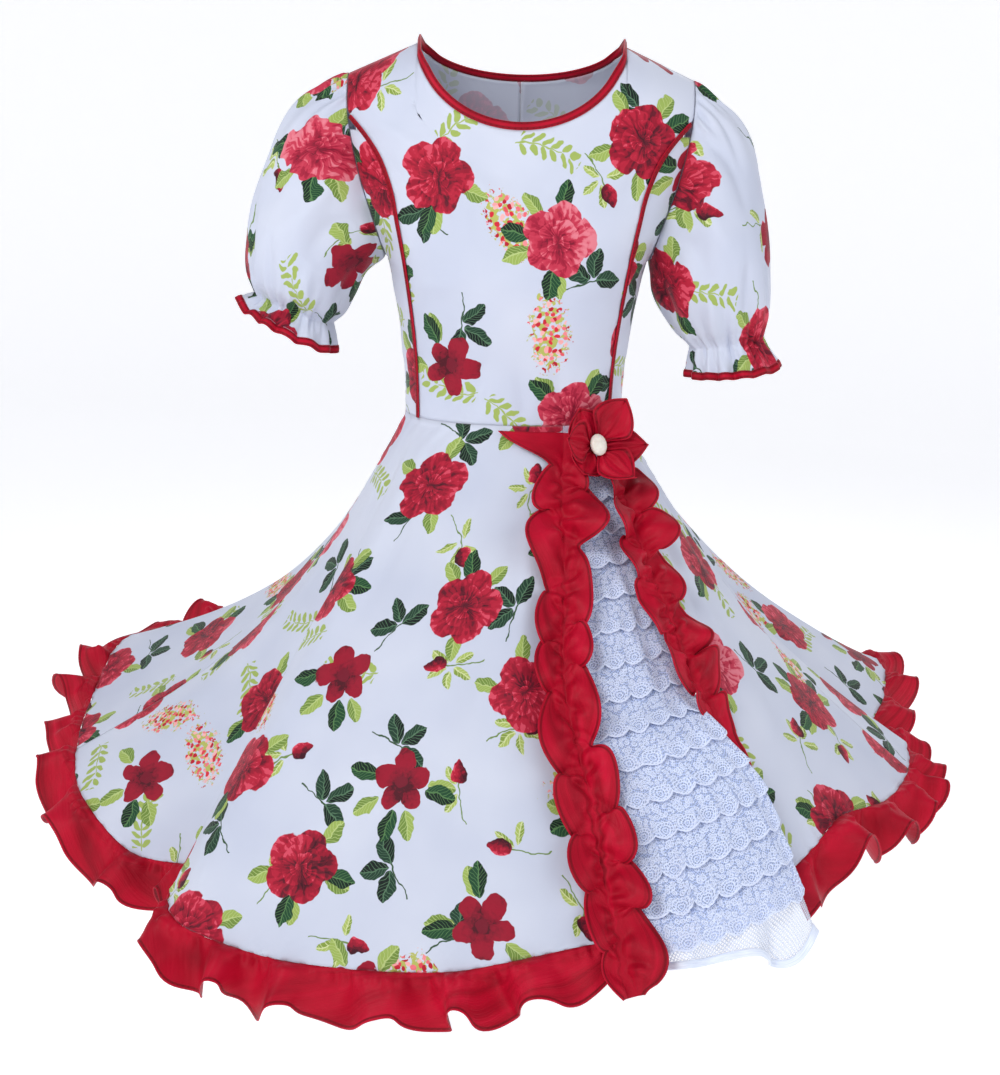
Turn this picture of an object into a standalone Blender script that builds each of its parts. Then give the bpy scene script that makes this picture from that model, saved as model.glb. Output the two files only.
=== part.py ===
"""Cueca dress: a princess-seamed bodice, two puff sleeves and a fluted circle skirt with a lace front slit.

Metres, +Z up. The front faces -Y and the wearer's left is at +X. The origin lies between the two
shoulder seams, where the wearer holds the dress up, so the whole dress hangs below z = 0.
Each cloth piece is an open grid of points worked out from the sizes below, given its wall by Solidify.
"""

import math

import bpy
import numpy as np

# Cloth
WALL = 0.0012
LACE_WALL = 0.0010
GAP = 0.0003
SEAM_PULL = 0.00025

# Bodice: heights are below the shoulder points
WAIST_Z = -0.410
UNDERARM_Z = -0.235
SHOULDER_TIP_Z = -0.038
SHOULDER_TIP_X = 0.190
NECK_HALF = 0.105
NECK_DROP_FRONT = 0.085
NECK_DROP_BACK = 0.034
SHOULDER_ROUND = 0.050
SECTION_POWER = 0.86
ARMHOLE_FULLNESS = 0.075
WAIST_BAND = 0.006

# height, half width, front depth, back depth
BODY_ROWS = (
    (-0.410, 0.1235, 0.1000, 0.0880),
    (-0.350, 0.1265, 0.1060, 0.0870),
    (-0.290, 0.1340, 0.1190, 0.0930),
    (-0.250, 0.1430, 0.1240, 0.0990),
    (-0.200, 0.1570, 0.1180, 0.1050),
    (-0.140, 0.1760, 0.1000, 0.1050),
    (-0.080, 0.1880, 0.0820, 0.0900),
    (-0.035, 0.1900, 0.0680, 0.0720),
    (0.000, 0.1900, 0.0600, 0.0620),
)

# height, half distance between the two princess seams
PRINCESS_ROWS = (
    (-0.410, 0.1050),
    (-0.340, 0.1080),
    (-0.270, 0.1160),
    (-0.200, 0.1280),
    (-0.150, 0.1400),
    (-0.120, 0.1540),
    (-0.100, 0.1690),
    (-0.080, 0.1875),
)

# Heights of the bodice's section rows, read at the armhole side of each panel
BODICE_HEIGHTS = (
    -0.410, -0.404, -0.355, -0.305, -0.265, -0.235, -0.205,
    -0.172, -0.142, -0.118, -0.098, -0.080, -0.058, -0.038,
)  # fmt: skip
SIDE_PANEL_ROWS = 11
PIPING_ROWS = 12

# Bias binding and piping
BINDING_HALF_WIDTH = 0.0045
BINDING_HALF_THICK = 0.0016
PIPING_HALF_WIDTH = 0.0026
PIPING_HALF_THICK = 0.0013

# Skirt: one row for each crest or valley of the hem. The angles run from the front, 0, towards the
# wearer's left: angle at the waist, angle at the hem, the ruffle edge's radius and height, and how
# far the cloth bows out halfway down.
HEM_ROWS = (
    (-90, -84, 0.550, -0.862, -0.052),
    (-78, -73, 0.535, -0.894, -0.036),
    (-69, -64, 0.490, -0.934, -0.020),
    (-62, -57, 0.448, -0.932, -0.008),
    (-55, -52, 0.454, -0.916, 0.000),
    (-49, -50, 0.490, -0.928, 0.000),
    (-41, -44, 0.520, -0.940, 0.004),
    (-31, -34, 0.490, -0.960, 0.008),
    (-18, -21, 0.465, -0.962, 0.010),
    (-5, -8, 0.462, -0.951, 0.010),
    (8, 0, 0.466, -0.934, 0.007),
    (20, 9, 0.466, -0.917, 0.002),
    (30, 16, 0.464, -0.910, 0.000),
    (54, 42, 0.464, -0.882, 0.000),
    (62, 50, 0.462, -0.864, -0.006),
    (70, 58, 0.460, -0.850, -0.012),
    (80, 70, 0.492, -0.858, -0.020),
    (90, 83, 0.516, -0.858, -0.030),
    (98, 92, 0.524, -0.852, -0.036),
    (106, 98, 0.498, -0.846, -0.038),
    (114, 106, 0.544, -0.836, -0.040),
    (123, 117, 0.604, -0.824, -0.040),
    (133, 127, 0.554, -0.820, -0.034),
    (143, 139, 0.590, -0.814, -0.030),
    (153, 150, 0.544, -0.814, -0.026),
    (163, 162, 0.592, -0.802, -0.024),
    (173, 173, 0.546, -0.806, -0.024),
    (184, 184, 0.594, -0.796, -0.024),
    (195, 196, 0.548, -0.802, -0.024),
    (206, 208, 0.596, -0.790, -0.028),
    (217, 220, 0.546, -0.802, -0.038),
    (228, 231, 0.562, -0.802, -0.050),
    (238, 240, 0.552, -0.802, -0.060),
    (248, 249, 0.580, -0.796, -0.064),
    (259, 262, 0.562, -0.834, -0.062),
    (270, 276, 0.550, -0.862, -0.052),
)
# Share of the skirt's length and the waist angles of the slit's two edges there
SLIT_ROWS = (
    (0.00, 23.0, 52.0),
    (0.25, 21.0, 48.5),
    (0.50, 20.0, 50.2),
    (0.75, 25.0, 53.8),
    (1.00, 29.5, 53.5),
)
RUFFLE_SHARE = 0.095
RUFFLE_REACH = 0.86
SKIRT_STATIONS = (0.0, 0.012, 0.10, 0.26, 0.44, 0.62, 0.80, 0.93, 1.0)
HEM_WAVE_LENGTH = 0.081
HEM_WAVE_HEIGHT = 0.0105
HEM_SAMPLES = 6

# Slit ruffles: share of the length, width to the printed cloth, width over the lace, wave height
SLIT_WAVES = 9
SLIT_SAMPLES = 5
SLIT_SEAT = 0.0016
SLIT_LIFT = 0.0040
RUFFLE_RIGHT_ROWS = (
    (0.012, 0.058, 0.012, 0.0005),
    (0.070, 0.022, 0.016, 0.0020),
    (0.130, 0.029, 0.032, 0.0065),
    (0.320, 0.026, 0.028, 0.0075),
    (0.460, 0.026, 0.020, 0.0075),
    (0.600, 0.030, 0.027, 0.0080),
    (0.930, 0.032, 0.032, 0.0080),
    (1.085, 0.026, 0.024, 0.0060),
)
RUFFLE_LEFT_ROWS = (
    (0.050, 0.020, 0.014, 0.0005),
    (0.100, 0.028, 0.022, 0.0040),
    (0.150, 0.028, 0.026, 0.0065),
    (0.520, 0.028, 0.026, 0.0070),
    (0.600, 0.024, 0.012, 0.0028),
    (0.650, 0.017, 0.010, 0.0006),
    (0.985, 0.011, 0.010, 0.0006),
)

# Sleeves: one row for each ring below the armhole. Share of the length, distance of its centre from
# the centre plane, height, lean of its axis in degrees, half width seen from the front, half depth,
# forward shift, and height of its gathers.
SLEEVE_RIGHT_ROWS = (
    (0.24, 0.2030, -0.1600, 60.0, 0.0940, 0.066, 0.002, 0.0015),
    (0.46, 0.2290, -0.2040, 42.0, 0.0790, 0.071, 0.006, 0.0000),
    (0.66, 0.2430, -0.2480, 30.0, 0.0680, 0.069, 0.010, 0.0008),
    (0.80, 0.2490, -0.2800, 22.0, 0.0560, 0.058, 0.012, 0.0022),
    (0.87, 0.2500, -0.2960, 20.0, 0.0440, 0.044, 0.013, 0.0024),
    (0.93, 0.2545, -0.3060, 23.0, 0.0520, 0.051, 0.014, 0.0028),
    (1.00, 0.2600, -0.3180, 27.0, 0.0610, 0.059, 0.015, 0.0040),
)
SLEEVE_LEFT_ROWS = (
    (0.24, 0.1980, -0.1690, 60.0, 0.0930, 0.066, 0.002, 0.0015),
    (0.46, 0.2130, -0.2160, 44.0, 0.0800, 0.071, 0.006, 0.0000),
    (0.66, 0.2260, -0.2640, 28.0, 0.0660, 0.068, 0.010, 0.0008),
    (0.80, 0.2350, -0.3020, 16.0, 0.0530, 0.055, 0.012, 0.0022),
    (0.87, 0.2395, -0.3230, 9.0, 0.0415, 0.043, 0.013, 0.0024),
    (0.93, 0.2440, -0.3400, 8.0, 0.0470, 0.049, 0.014, 0.0028),
    (1.00, 0.2485, -0.3570, 7.0, 0.0520, 0.055, 0.015, 0.0040),
)
SLEEVE_STATIONS = (0.0, 0.055, 0.17, 0.34, 0.54, 0.74, 0.87, 0.94, 1.0)
SLEEVE_GATHERS = 10
SLEEVE_COLUMNS = 40
ARMHOLE_GAP = 0.0008
UNDERARM_GAP = 0.0016

# Lace panel behind the slit: share of the length, waist angles of its left and right edges, and how
# far those stand out from the skirt.
LACE_ROWS = (
    (0.00, 20.0, 55.0, -0.0095, -0.0095),
    (0.15, 18.0, 53.0, -0.0120, -0.0115),
    (0.35, 15.5, 52.0, -0.0140, -0.0130),
    (0.53, 15.0, 51.0, -0.0140, -0.0125),
    (0.575, 15.7, 49.0, -0.0140, -0.0100),
    (0.62, 16.5, 49.0, -0.0140, -0.0010),
    (0.665, 17.5, 50.1, -0.0140, 0.0085),
    (0.72, 19.0, 52.2, -0.0140, 0.0120),
    (0.80, 21.0, 54.6, -0.0140, 0.0145),
    (0.92, 22.5, 54.6, -0.0140, 0.0170),
    (1.16, 24.5, 53.4, -0.0140, 0.0190),
)
LACE_BOW = 0.020
LACE_TIERS = 14
LACE_TOP = 0.06
LACE_BOTTOM = 0.955
SCALLOP_WIDTH = 0.042
SCALLOP_DEPTH = 0.010
TIER_OVERLAP = 1.35
LACE_SEAT = 0.0004
TIER_BASE = 0.0015
TIER_FOOT_LIFT = 0.0046
TULLE_BOTTOM_RIGHT = 1.025
TULLE_BOTTOM_LEFT = 1.150
TULLE_WAVE = 0.0085
TULLE_BINDING_HALF = 0.0035

# Flower at the waist. Petals: direction seen from the front, length, half width, layer, tip lift
FLOWER_ANGLE = 37.0
FLOWER_HEIGHT = -0.441
FLOWER_STAND = 0.0231
FLOWER_FACING = 26.0
FLOWER_TILT = 24.0
PETAL_ROWS = (
    (50, 0.062, 0.0215, 1, 0.004),
    (113, 0.044, 0.0210, 0, 0.006),
    (170, 0.041, 0.0200, 1, 0.006),
    (233, 0.038, 0.0180, 0, 0.008),
    (300, 0.050, 0.0210, 1, 0.020),
    (355, 0.057, 0.0215, 0, 0.012),
)
PETAL_START = 0.0045
PETAL_BEND = 0.022
PETAL_ROOT = 0.0021
PETAL_LAYER = 0.0092
BUTTON_RADIUS = 0.0115
BUTTON_DOME = 0.0055
BUTTON_LIFT = 0.0128
SHANK_RADIUS = 0.0030
SHANK_LENGTH = 0.0130

FLORAL = ("printed_cotton", (0.87, 0.88, 0.93, 1.0), 0.75)
RED = ("red_satin_cotton", (0.72, 0.012, 0.030, 1.0), 0.65)
LACE = ("white_lace", (0.84, 0.88, 0.95, 1.0), 0.80)
TULLE = ("white_tulle", (0.82, 0.86, 0.93, 1.0), 0.60)
PEARL = ("button_plastic", (0.90, 0.88, 0.84, 1.0), 0.30)


# Curves and grids

def smooth(rows, at):
    """A cubic curve through the rows, whose first column is the place that the others belong to."""
    rows = np.asarray(rows, float)
    place, value = rows[:, 0], rows[:, 1:]
    slope = np.gradient(value, place, axis=0)
    at = np.clip(np.asarray(at, float), place[0], place[-1])
    i = np.clip(np.searchsorted(place, at, side="right") - 1, 0, len(place) - 2)
    step = (place[i + 1] - place[i])[..., None]
    t = ((at - place[i]) / (place[i + 1] - place[i]))[..., None]
    start = (1 + 2 * t) * (1 - t) ** 2 * value[i] + t * (1 - t) ** 2 * step * slope[i]
    end = t**2 * (3 - 2 * t) * value[i + 1] - t**2 * (1 - t) * step * slope[i + 1]
    return start + end


def ease(t):
    """Rises smoothly from 0 to 1."""
    t = np.clip(t, 0.0, 1.0)
    return t * t * (3 - 2 * t)


def unit(vectors):
    length = np.linalg.norm(vectors, axis=-1, keepdims=True)
    return vectors / np.maximum(length, 1e-9)


def pull_edges(grid, top=0.0, bottom=0.0, left=0.0, right=0.0):
    """Draws the borders of a grid of rows and columns back from their seams."""
    moved = grid.copy()
    moved[0] += top * unit(grid[1] - grid[0])
    moved[-1] += bottom * unit(grid[-2] - grid[-1])
    moved[:, 0] += left * unit(grid[:, 1] - grid[:, 0])
    moved[:, -1] += right * unit(grid[:, -2] - grid[:, -1])
    return moved


def grid_normals(grid, closed=False):
    """The direction across a surface at each point of its grid."""
    if closed:
        across = np.roll(grid, -1, axis=1) - np.roll(grid, 1, axis=1)
    else:
        across = np.gradient(grid, axis=1)
    down = np.gradient(grid, axis=0)
    return unit(np.cross(down, across))


# Objects

def material(look):
    name, colour, roughness = look
    found = bpy.data.materials.get(name)
    if found:
        return found
    made = bpy.data.materials.new(name)
    made.use_nodes = True
    shader = made.node_tree.nodes["Principled BSDF"]
    shader.inputs["Base Color"].default_value = colour
    shader.inputs["Roughness"].default_value = roughness
    shader.inputs["Metallic"].default_value = 0.0
    return made


def mesh_object(name, points, faces, look):
    mesh = bpy.data.meshes.new(name)
    mesh.from_pydata([tuple(p) for p in points], [], faces)
    mesh.validate()
    made = bpy.data.objects.new(name, mesh)
    made.data.materials.append(material(look))
    COLLECTION.objects.link(made)
    made.data.shade_smooth()
    return made


def cloth(name, grid, look, wall=WALL, closed=False, flip=False):
    """A cloth wall: a grid of points down and across, thickened to both sides of its middle."""
    rows, columns = grid.shape[:2]
    last = columns if closed else columns - 1
    faces = []
    for r in range(rows - 1):
        for c in range(last):
            d = (c + 1) % columns
            face = (r * columns + c, (r + 1) * columns + c, (r + 1) * columns + d, r * columns + d)
            faces.append(face[::-1] if flip else face)
    made = mesh_object(name, grid.reshape(-1, 3), faces, look)
    thicken = made.modifiers.new("wall", "SOLIDIFY")
    thicken.thickness = wall
    thicken.offset = 0.0
    return made


def strip(name, line, across, normal, half_width, half_thick, look, closed=False):
    """A flat round-edged strip along a line, as a folded bias binding or a piping is."""
    section = [(math.cos(a), math.sin(a)) for a in np.radians((0, 50, 130, 180, 230, 310))]
    sides = len(section)
    points = [
        p + half_width * x * a + half_thick * y * n
        for p, a, n in zip(line, across, normal)
        for x, y in section
    ]
    count = len(line)
    faces = []
    for i in range(count if closed else count - 1):
        j = (i + 1) % count
        for k in range(sides):
            m = (k + 1) % sides
            faces.append((i * sides + k, i * sides + m, j * sides + m, j * sides + k))
    if not closed:
        faces.append(tuple(range(sides))[::-1])
        faces.append(tuple((count - 1) * sides + k for k in range(sides)))
    made = mesh_object(name, points, faces, look)
    face_out(made)
    return made


def face_out(made):
    """Turns a closed mesh's faces outwards."""
    import bmesh

    work = bmesh.new()
    work.from_mesh(made.data)
    bmesh.ops.recalc_face_normals(work, faces=work.faces)
    work.to_mesh(made.data)
    work.free()


# Bodice

def shoulder_height(x):
    slope = SHOULDER_TIP_Z / (SHOULDER_TIP_X - NECK_HALF)
    return slope * np.maximum(np.abs(x) - NECK_HALF, 0.0)


def body_width(z):
    """Half width at the side seam or armhole, and of the whole section that it is cut from."""
    half = smooth(BODY_ROWS, z)[..., 0]
    above = np.clip((z - UNDERARM_Z) / 0.09, 0.0, 1.0)
    return half, half * (1 + ARMHOLE_FULLNESS * np.sin(math.pi / 2 * above))


def body_point(angle, z, back):
    """A point on the front or back of the body form, by its angle round the section and its height."""
    row = smooth(BODY_ROWS, z)
    depth = row[..., 2] if back else row[..., 1]
    whole = body_width(z)[1]
    x = whole * np.sign(np.sin(angle)) * np.abs(np.sin(angle)) ** SECTION_POWER
    below = np.clip((shoulder_height(x) - z) / SHOULDER_ROUND, 0.0, 1.0)
    depth = depth * np.sqrt(1 - (1 - below) ** 2)
    y = depth * np.abs(np.cos(angle)) ** SECTION_POWER
    return np.stack([x, y if back else -y, z], axis=-1)


def angle_at(x, z):
    """The angle round the section at which the body has that x."""
    return np.arcsin(np.clip((x / body_width(z)[1]) ** (1 / SECTION_POWER), 0.0, 1.0))


def side_angle(z):
    """The angle of the side seam, or of the armhole above it."""
    return np.where(z <= UNDERARM_Z + 1e-6, math.pi / 2, angle_at(body_width(z)[0], z))


def princess_angle(z):
    return angle_at(smooth(PRINCESS_ROWS, z)[..., 0], z)


def panel_edge_height(x, drop):
    """Top of the panels: the neck curve with its binding taken off, then the shoulder seam."""
    width = 2 * BINDING_HALF_WIDTH
    inside = np.clip(np.abs(x) / (NECK_HALF + width), 0.0, 1.0)
    neck = -(drop + width) * np.sqrt(1 - inside**2)
    return np.where(np.abs(x) < NECK_HALF + width, neck + shoulder_height(x), shoulder_height(x))


def bodice_grid(shares, drop, back, edge_angle):
    """Rows from the top edge down to the waist and columns at shares of the way to the panel's side."""
    heights = np.array(BODICE_HEIGHTS)
    rise = (heights - WAIST_Z) / (SHOULDER_TIP_Z - WAIST_Z)
    columns = []
    for share in shares:
        top = np.array(-0.05)
        for _ in range(60):
            x = body_point(share * edge_angle(top), top, back)[..., 0]
            top = 0.5 * top + 0.5 * panel_edge_height(x, drop)
        z = WAIST_Z + rise * (top - WAIST_Z)
        z[:2] = heights[:2]
        column = body_point(share * edge_angle(z), z, back)
        column[0, :2] = column[1, :2]
        columns.append(column)
    return np.stack(columns, axis=1)[::-1]


def front_edge(z):
    """The centre front panel ends at the princess seam, and above it at the armhole."""
    return np.where(z < PRINCESS_ROWS[-1][0], princess_angle(z), side_angle(z))


def column_shares(neck_columns, shoulder_columns, edge_angle, back):
    """Shares for even columns across half the neck and then along the shoulder."""
    corner = NECK_HALF + 2 * BINDING_HALF_WIDTH
    z = shoulder_height(corner)
    at_corner = float(angle_at(corner, z) / edge_angle(np.array(z)))
    inner = np.linspace(0, at_corner, neck_columns + 1)
    outer = np.linspace(at_corner, 1.0, shoulder_columns + 1)[1:]
    return np.concatenate([inner, outer])


def mirror_x(grid):
    """The other side's piece: columns in reverse order, so that the surface still faces out."""
    return (grid * np.array([-1.0, 1.0, 1.0]))[:, ::-1]


def neck_binding(front, back_half, neck_columns):
    """The binding that closes the neck edge, made from the panels' own top points."""
    middle = front.shape[1] // 2
    ahead = front[0, middle - neck_columns : middle + neck_columns + 1]
    ahead_normal = grid_normals(front)[0, middle - neck_columns : middle + neck_columns + 1]
    behind = back_half[0, : neck_columns + 1]
    behind_normal = grid_normals(back_half)[0, : neck_columns + 1]
    other = behind * np.array([-1.0, 1.0, 1.0])
    other_normal = behind_normal * np.array([-1.0, 1.0, 1.0])
    loop = np.concatenate([ahead, behind[-2::-1], other[1:-1]])
    normal = np.concatenate([ahead_normal, behind_normal[-2::-1], other_normal[1:-1]])
    outward = np.sign(np.sum(normal * (loop * [1, 1, 0] + [0, 0, 0.05]), axis=1))[:, None]
    normal = unit(normal * np.where(outward == 0, 1, outward))
    tangent = unit(np.roll(loop, -1, axis=0) - np.roll(loop, 1, axis=0))
    across = unit(np.cross(normal, tangent))
    normal = unit(np.cross(tangent, across))
    inward = np.sign(np.sum(across * (np.array([0, 0, 0.03]) - loop), axis=1))[:, None]
    across = across * inward
    line = loop + across * (BINDING_HALF_WIDTH + GAP)
    strip("neck_binding", line, across, normal, BINDING_HALF_WIDTH, BINDING_HALF_THICK, RED, True)


def piping(name, side):
    """A narrow red piping that lies on a princess seam."""
    z = np.array(BODICE_HEIGHTS[:PIPING_ROWS], float)
    z[-1] -= 0.004
    step = 0.004
    here = body_point(princess_angle(z), z, False)
    beside = body_point(princess_angle(z) + step / 0.1, z, False)
    here[0, :2] = here[1, :2]
    beside[0, :2] = beside[1, :2]
    along = np.gradient(here, axis=0)
    normal = unit(np.cross(unit(beside - here), unit(along)))
    across = unit(np.cross(along, normal))
    line = here + normal * (WALL / 2 + GAP + PIPING_HALF_THICK)
    flip = np.array([side, 1.0, 1.0])
    strip(name, line * flip, across * flip, normal * flip, PIPING_HALF_WIDTH, PIPING_HALF_THICK, RED)


def bodice():
    neck_columns = 6
    shares = column_shares(neck_columns, 3, front_edge, False)
    both = np.concatenate([-shares[:0:-1], shares])
    half = bodice_grid(shares, NECK_DROP_FRONT, False, front_edge)
    front = np.concatenate([mirror_x(half)[:, :-1], half], axis=1)
    assert front.shape[1] == len(both)
    pulled = pull_edges(front, top=SEAM_PULL, bottom=GAP / 2, left=SEAM_PULL, right=SEAM_PULL)
    middle = front.shape[1] // 2
    pulled[0, : middle - neck_columns] += (0.0, -0.0006, 0.0)
    pulled[0, middle + neck_columns + 1 :] += (0.0, -0.0006, 0.0)
    cloth("bodice_front", pulled, FLORAL)

    z = np.array(BODICE_HEIGHTS[:SIDE_PANEL_ROWS])[::-1]
    inner, outer = princess_angle(z), side_angle(z)
    shares_across = np.linspace(0, 1, 4)[None, :]
    angles = inner[:, None] + (outer - inner)[:, None] * shares_across
    side = body_point(angles, np.repeat(z[:, None], 4, axis=1), False)
    side[-1, :, :2] = side[-2, :, :2]
    side = pull_edges(side, top=SEAM_PULL, bottom=GAP / 2, left=SEAM_PULL, right=SEAM_PULL)
    cloth("bodice_side_left", side, FLORAL)
    cloth("bodice_side_right", mirror_x(side), FLORAL)

    shares = column_shares(neck_columns, 3, side_angle, True)
    back = bodice_grid(shares, NECK_DROP_BACK, True, side_angle)
    pulled = pull_edges(back, top=SEAM_PULL, bottom=GAP / 2, left=SEAM_PULL, right=SEAM_PULL)
    pulled[0, neck_columns + 1 :] += (0.0, 0.0006, 0.0)
    cloth("bodice_back_left", pulled, FLORAL, flip=True)
    cloth("bodice_back_right", mirror_x(pulled), FLORAL, flip=True)
    neck_binding(front, back, neck_columns)
    piping("piping_left", 1.0)
    piping("piping_right", -1.0)


# Sleeves

def armhole(turn, side):
    """The armhole at angles from the shoulder tip, 0, forwards round the underarm, 180, to the back."""
    z = UNDERARM_Z + (SHOULDER_TIP_Z - UNDERARM_Z) * (1 + np.cos(turn)) / 2
    z = np.clip(z, UNDERARM_Z + 1e-5, SHOULDER_TIP_Z - 1e-5)
    angle = side_angle(z)
    ahead = body_point(angle, z, False)
    behind = body_point(angle, z, True)
    loop = np.where((np.sin(turn) >= 0)[:, None], ahead, behind)
    under = (1 - np.cos(turn)) / 2
    loop[:, 0] += ARMHOLE_GAP + (UNDERARM_GAP - ARMHOLE_GAP) * under**3
    return loop * np.array([side, 1.0, 1.0])


def sleeve_grid(rows, side):
    turn = np.arange(SLEEVE_COLUMNS) / SLEEVE_COLUMNS * 2 * math.pi
    rings = [armhole(turn, side)]
    outs = [np.zeros((SLEEVE_COLUMNS, 3))]
    for _, x, z, lean, half_width, half_depth, forward, gather in rows:
        tilt = math.radians(lean)
        up = np.array([side * math.cos(tilt), 0.0, math.sin(tilt)])
        ahead = np.array([0.0, -1.0, 0.0])
        out = np.cos(turn)[:, None] * up * half_width + np.sin(turn)[:, None] * ahead * half_depth
        rings.append(np.array([side * x, -forward, z]) + out)
        outs.append(unit(out) * gather * np.cos(SLEEVE_GATHERS * turn)[:, None])
    places = np.array([0.0] + [row[0] for row in rows])
    keys = np.stack(rings).reshape(len(places), -1)
    waves = np.stack(outs).reshape(len(places), -1)
    stations = np.array(SLEEVE_STATIONS)
    grid = smooth(np.column_stack([places, keys]), stations)
    wave = smooth(np.column_stack([places, waves]), stations)
    grid = (grid + wave).reshape(len(stations), SLEEVE_COLUMNS, 3)
    crown = np.exp(-((stations - 0.07) / 0.05) ** 2)[:, None] * np.maximum(np.cos(turn), 0) ** 2
    tucks = 0.0016 * crown * np.cos(SLEEVE_GATHERS * turn)
    grid[..., 2] += tucks
    return grid


def sleeve(name, rows, side):
    grid = sleeve_grid(rows, side)
    edge = grid[-1]
    back_off = unit(grid[-2] - grid[-1])
    body = grid.copy()
    body[-1] = edge + back_off * (2 * BINDING_HALF_WIDTH)
    cloth("sleeve_" + name, body, FLORAL, closed=True, flip=side < 0)
    normal = grid_normals(body, closed=True)[-1]
    tangent = unit(np.roll(edge, -1, axis=0) - np.roll(edge, 1, axis=0))
    across = -back_off
    normal = unit(np.cross(tangent, across))
    line = body[-1] + across * (BINDING_HALF_WIDTH + GAP)
    strip("sleeve_binding_" + name, line, across, normal, BINDING_HALF_WIDTH, BINDING_HALF_THICK, RED, True)


# Skirt

def waist_point(angle):
    """The waist seam at an angle from the front, in degrees, towards the wearer's left."""
    turn = np.radians(np.asarray(angle, float))
    wrapped = (turn + math.pi) % (2 * math.pi) - math.pi
    z = np.full(turn.shape, BODICE_HEIGHTS[1])
    inner = np.where(np.abs(wrapped) <= math.pi / 2, wrapped, math.pi - wrapped)
    ahead = body_point(inner, z, False)
    behind = body_point(inner, z, True)
    point = np.where((np.abs(wrapped) <= math.pi / 2)[..., None], ahead, behind)
    point[..., 2] = WAIST_Z - GAP / 2
    return point


def hem_point(angle):
    """The ruffle's edge below the waist seam's point at that angle, and the bow halfway down."""
    rows = [
        (w, r * math.sin(math.radians(h)), -r * math.cos(math.radians(h)), z, bow)
        for w, h, r, z, bow in HEM_ROWS
    ]
    before = [(row[0] - 360, *row[1:]) for row in rows[-4:-1]]
    after = [(row[0] + 360, *row[1:]) for row in rows[1:4]]
    wrapped = (np.asarray(angle, float) + 90) % 360 - 90
    found = smooth(before + rows + after, wrapped)
    return found[..., :3], found[..., 3]


def skirt_point(angle, share):
    """A point of the skirt, share 0 at the waist, 1 at the ruffle's seam and more along the ruffle."""
    top = waist_point(angle)
    edge, bow = hem_point(angle)
    start = top - np.array([0.0, 0.0, WAIST_BAND])
    reach = (edge - start) * (1 - RUFFLE_SHARE)
    share = np.asarray(share, float)[..., None]
    outward = unit(edge * np.array([1.0, 1.0, 0.0]))
    lift = outward * 0.7 + np.array([0.0, 0.0, 0.7])
    return start + reach * share + lift * bow[..., None] * np.sin(math.pi * np.clip(share, 0, 1))


def skirt_normal(angle, share):
    """Points out of the skirt's surface."""
    turn, step = 1.0, 0.02
    across = skirt_point(angle + turn, share) - skirt_point(angle - turn, share)
    down = skirt_point(angle, share + step) - skirt_point(angle, share - step)
    return unit(np.cross(down, across))


def right_edge(share):
    return smooth(SLIT_ROWS, share)[..., 0]


def left_edge(share):
    return smooth(SLIT_ROWS, share)[..., 1]


def side_seam(angle):
    return lambda share: np.full(np.shape(share), float(angle))


def skirt_grid(start, end, columns):
    """Rows from the waist seam down; start and end give the angles of the panel's borders."""
    t = np.linspace(0, 1, columns)
    stations = np.array(SKIRT_STATIONS)
    shares = np.maximum(stations - stations[1], 0) / (1 - stations[1])
    rows = []
    for i, share in enumerate(shares):
        first, last = start(share), end(share)
        angles = first + (last - first) * t
        rows.append(waist_point(angles) if i == 0 else skirt_point(angles, np.full(columns, share)))
    return np.stack(rows)


def skirt_panels():
    """The grids of the three skirt pieces."""
    return {
        "front_right": skirt_grid(side_seam(-90), right_edge, 27),
        "front_left": skirt_grid(left_edge, side_seam(90), 9),
        "back": skirt_grid(side_seam(90), side_seam(270), 38),
    }


def along(line, values, count=None, places=None):
    """Samples of some values that belong to a line's points, evenly spaced along the line."""
    run = np.concatenate([[0.0], np.cumsum(np.linalg.norm(np.diff(line, axis=0), axis=1))])
    at = np.linspace(0, run[-1], count) if places is None else places * run[-1]
    return np.stack([np.interp(at, run, values[:, k]) for k in range(values.shape[1])], axis=1)


def hem_ruffle(name, panel, calm_start=0.0, calm_end=0.0, stop=0.0):
    """A gathered strip below the hem, in waves that grow from the seam to its edge."""
    hem = panel[-1]
    length = float(np.sum(np.linalg.norm(np.diff(hem, axis=0), axis=1)))
    waves = max(3, round(length / HEM_WAVE_LENGTH))
    count = waves * HEM_SAMPLES + 1
    run = np.linspace(0, 1 - stop / length, count)
    corners = np.cumsum(np.linalg.norm(np.diff(hem, axis=0), axis=1))[:-1] / length
    for corner in corners[corners < run[-1]]:
        run[np.argmin(np.abs(run - corner))] = corner
    calm = np.ones(count)
    if calm_start:
        calm *= calm_start + (1 - calm_start) * ease((run * length - 0.02) / 0.06)
    if calm_end:
        calm *= calm_end + (1 - calm_end) * ease(((1 - run) * length - 0.04) / 0.06)
    seam = along(hem, hem, places=run)
    outward = unit(along(hem, unit(panel[-1] - panel[-2]), places=run))
    normal = unit(along(hem, grid_normals(panel)[-1], places=run))
    tangent = unit(np.gradient(seam, axis=0))
    reach = RUFFLE_SHARE * RUFFLE_REACH * 0.64
    phase = 2 * math.pi * waves * np.linspace(0, 1, count)
    rows = []
    for part in (0.0, 0.42, 1.0):
        swing = HEM_WAVE_HEIGHT * part * calm
        lean = 0.35 * swing * np.cos(phase)
        place = seam + outward * (GAP + 0.0003 + reach * part)
        place = place + normal * (swing * np.sin(phase))[:, None] + tangent * lean[:, None]
        rows.append(place)
    grid = pull_edges(np.stack(rows), left=GAP, right=GAP)
    cloth("hem_ruffle_" + name, grid, RED)


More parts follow.
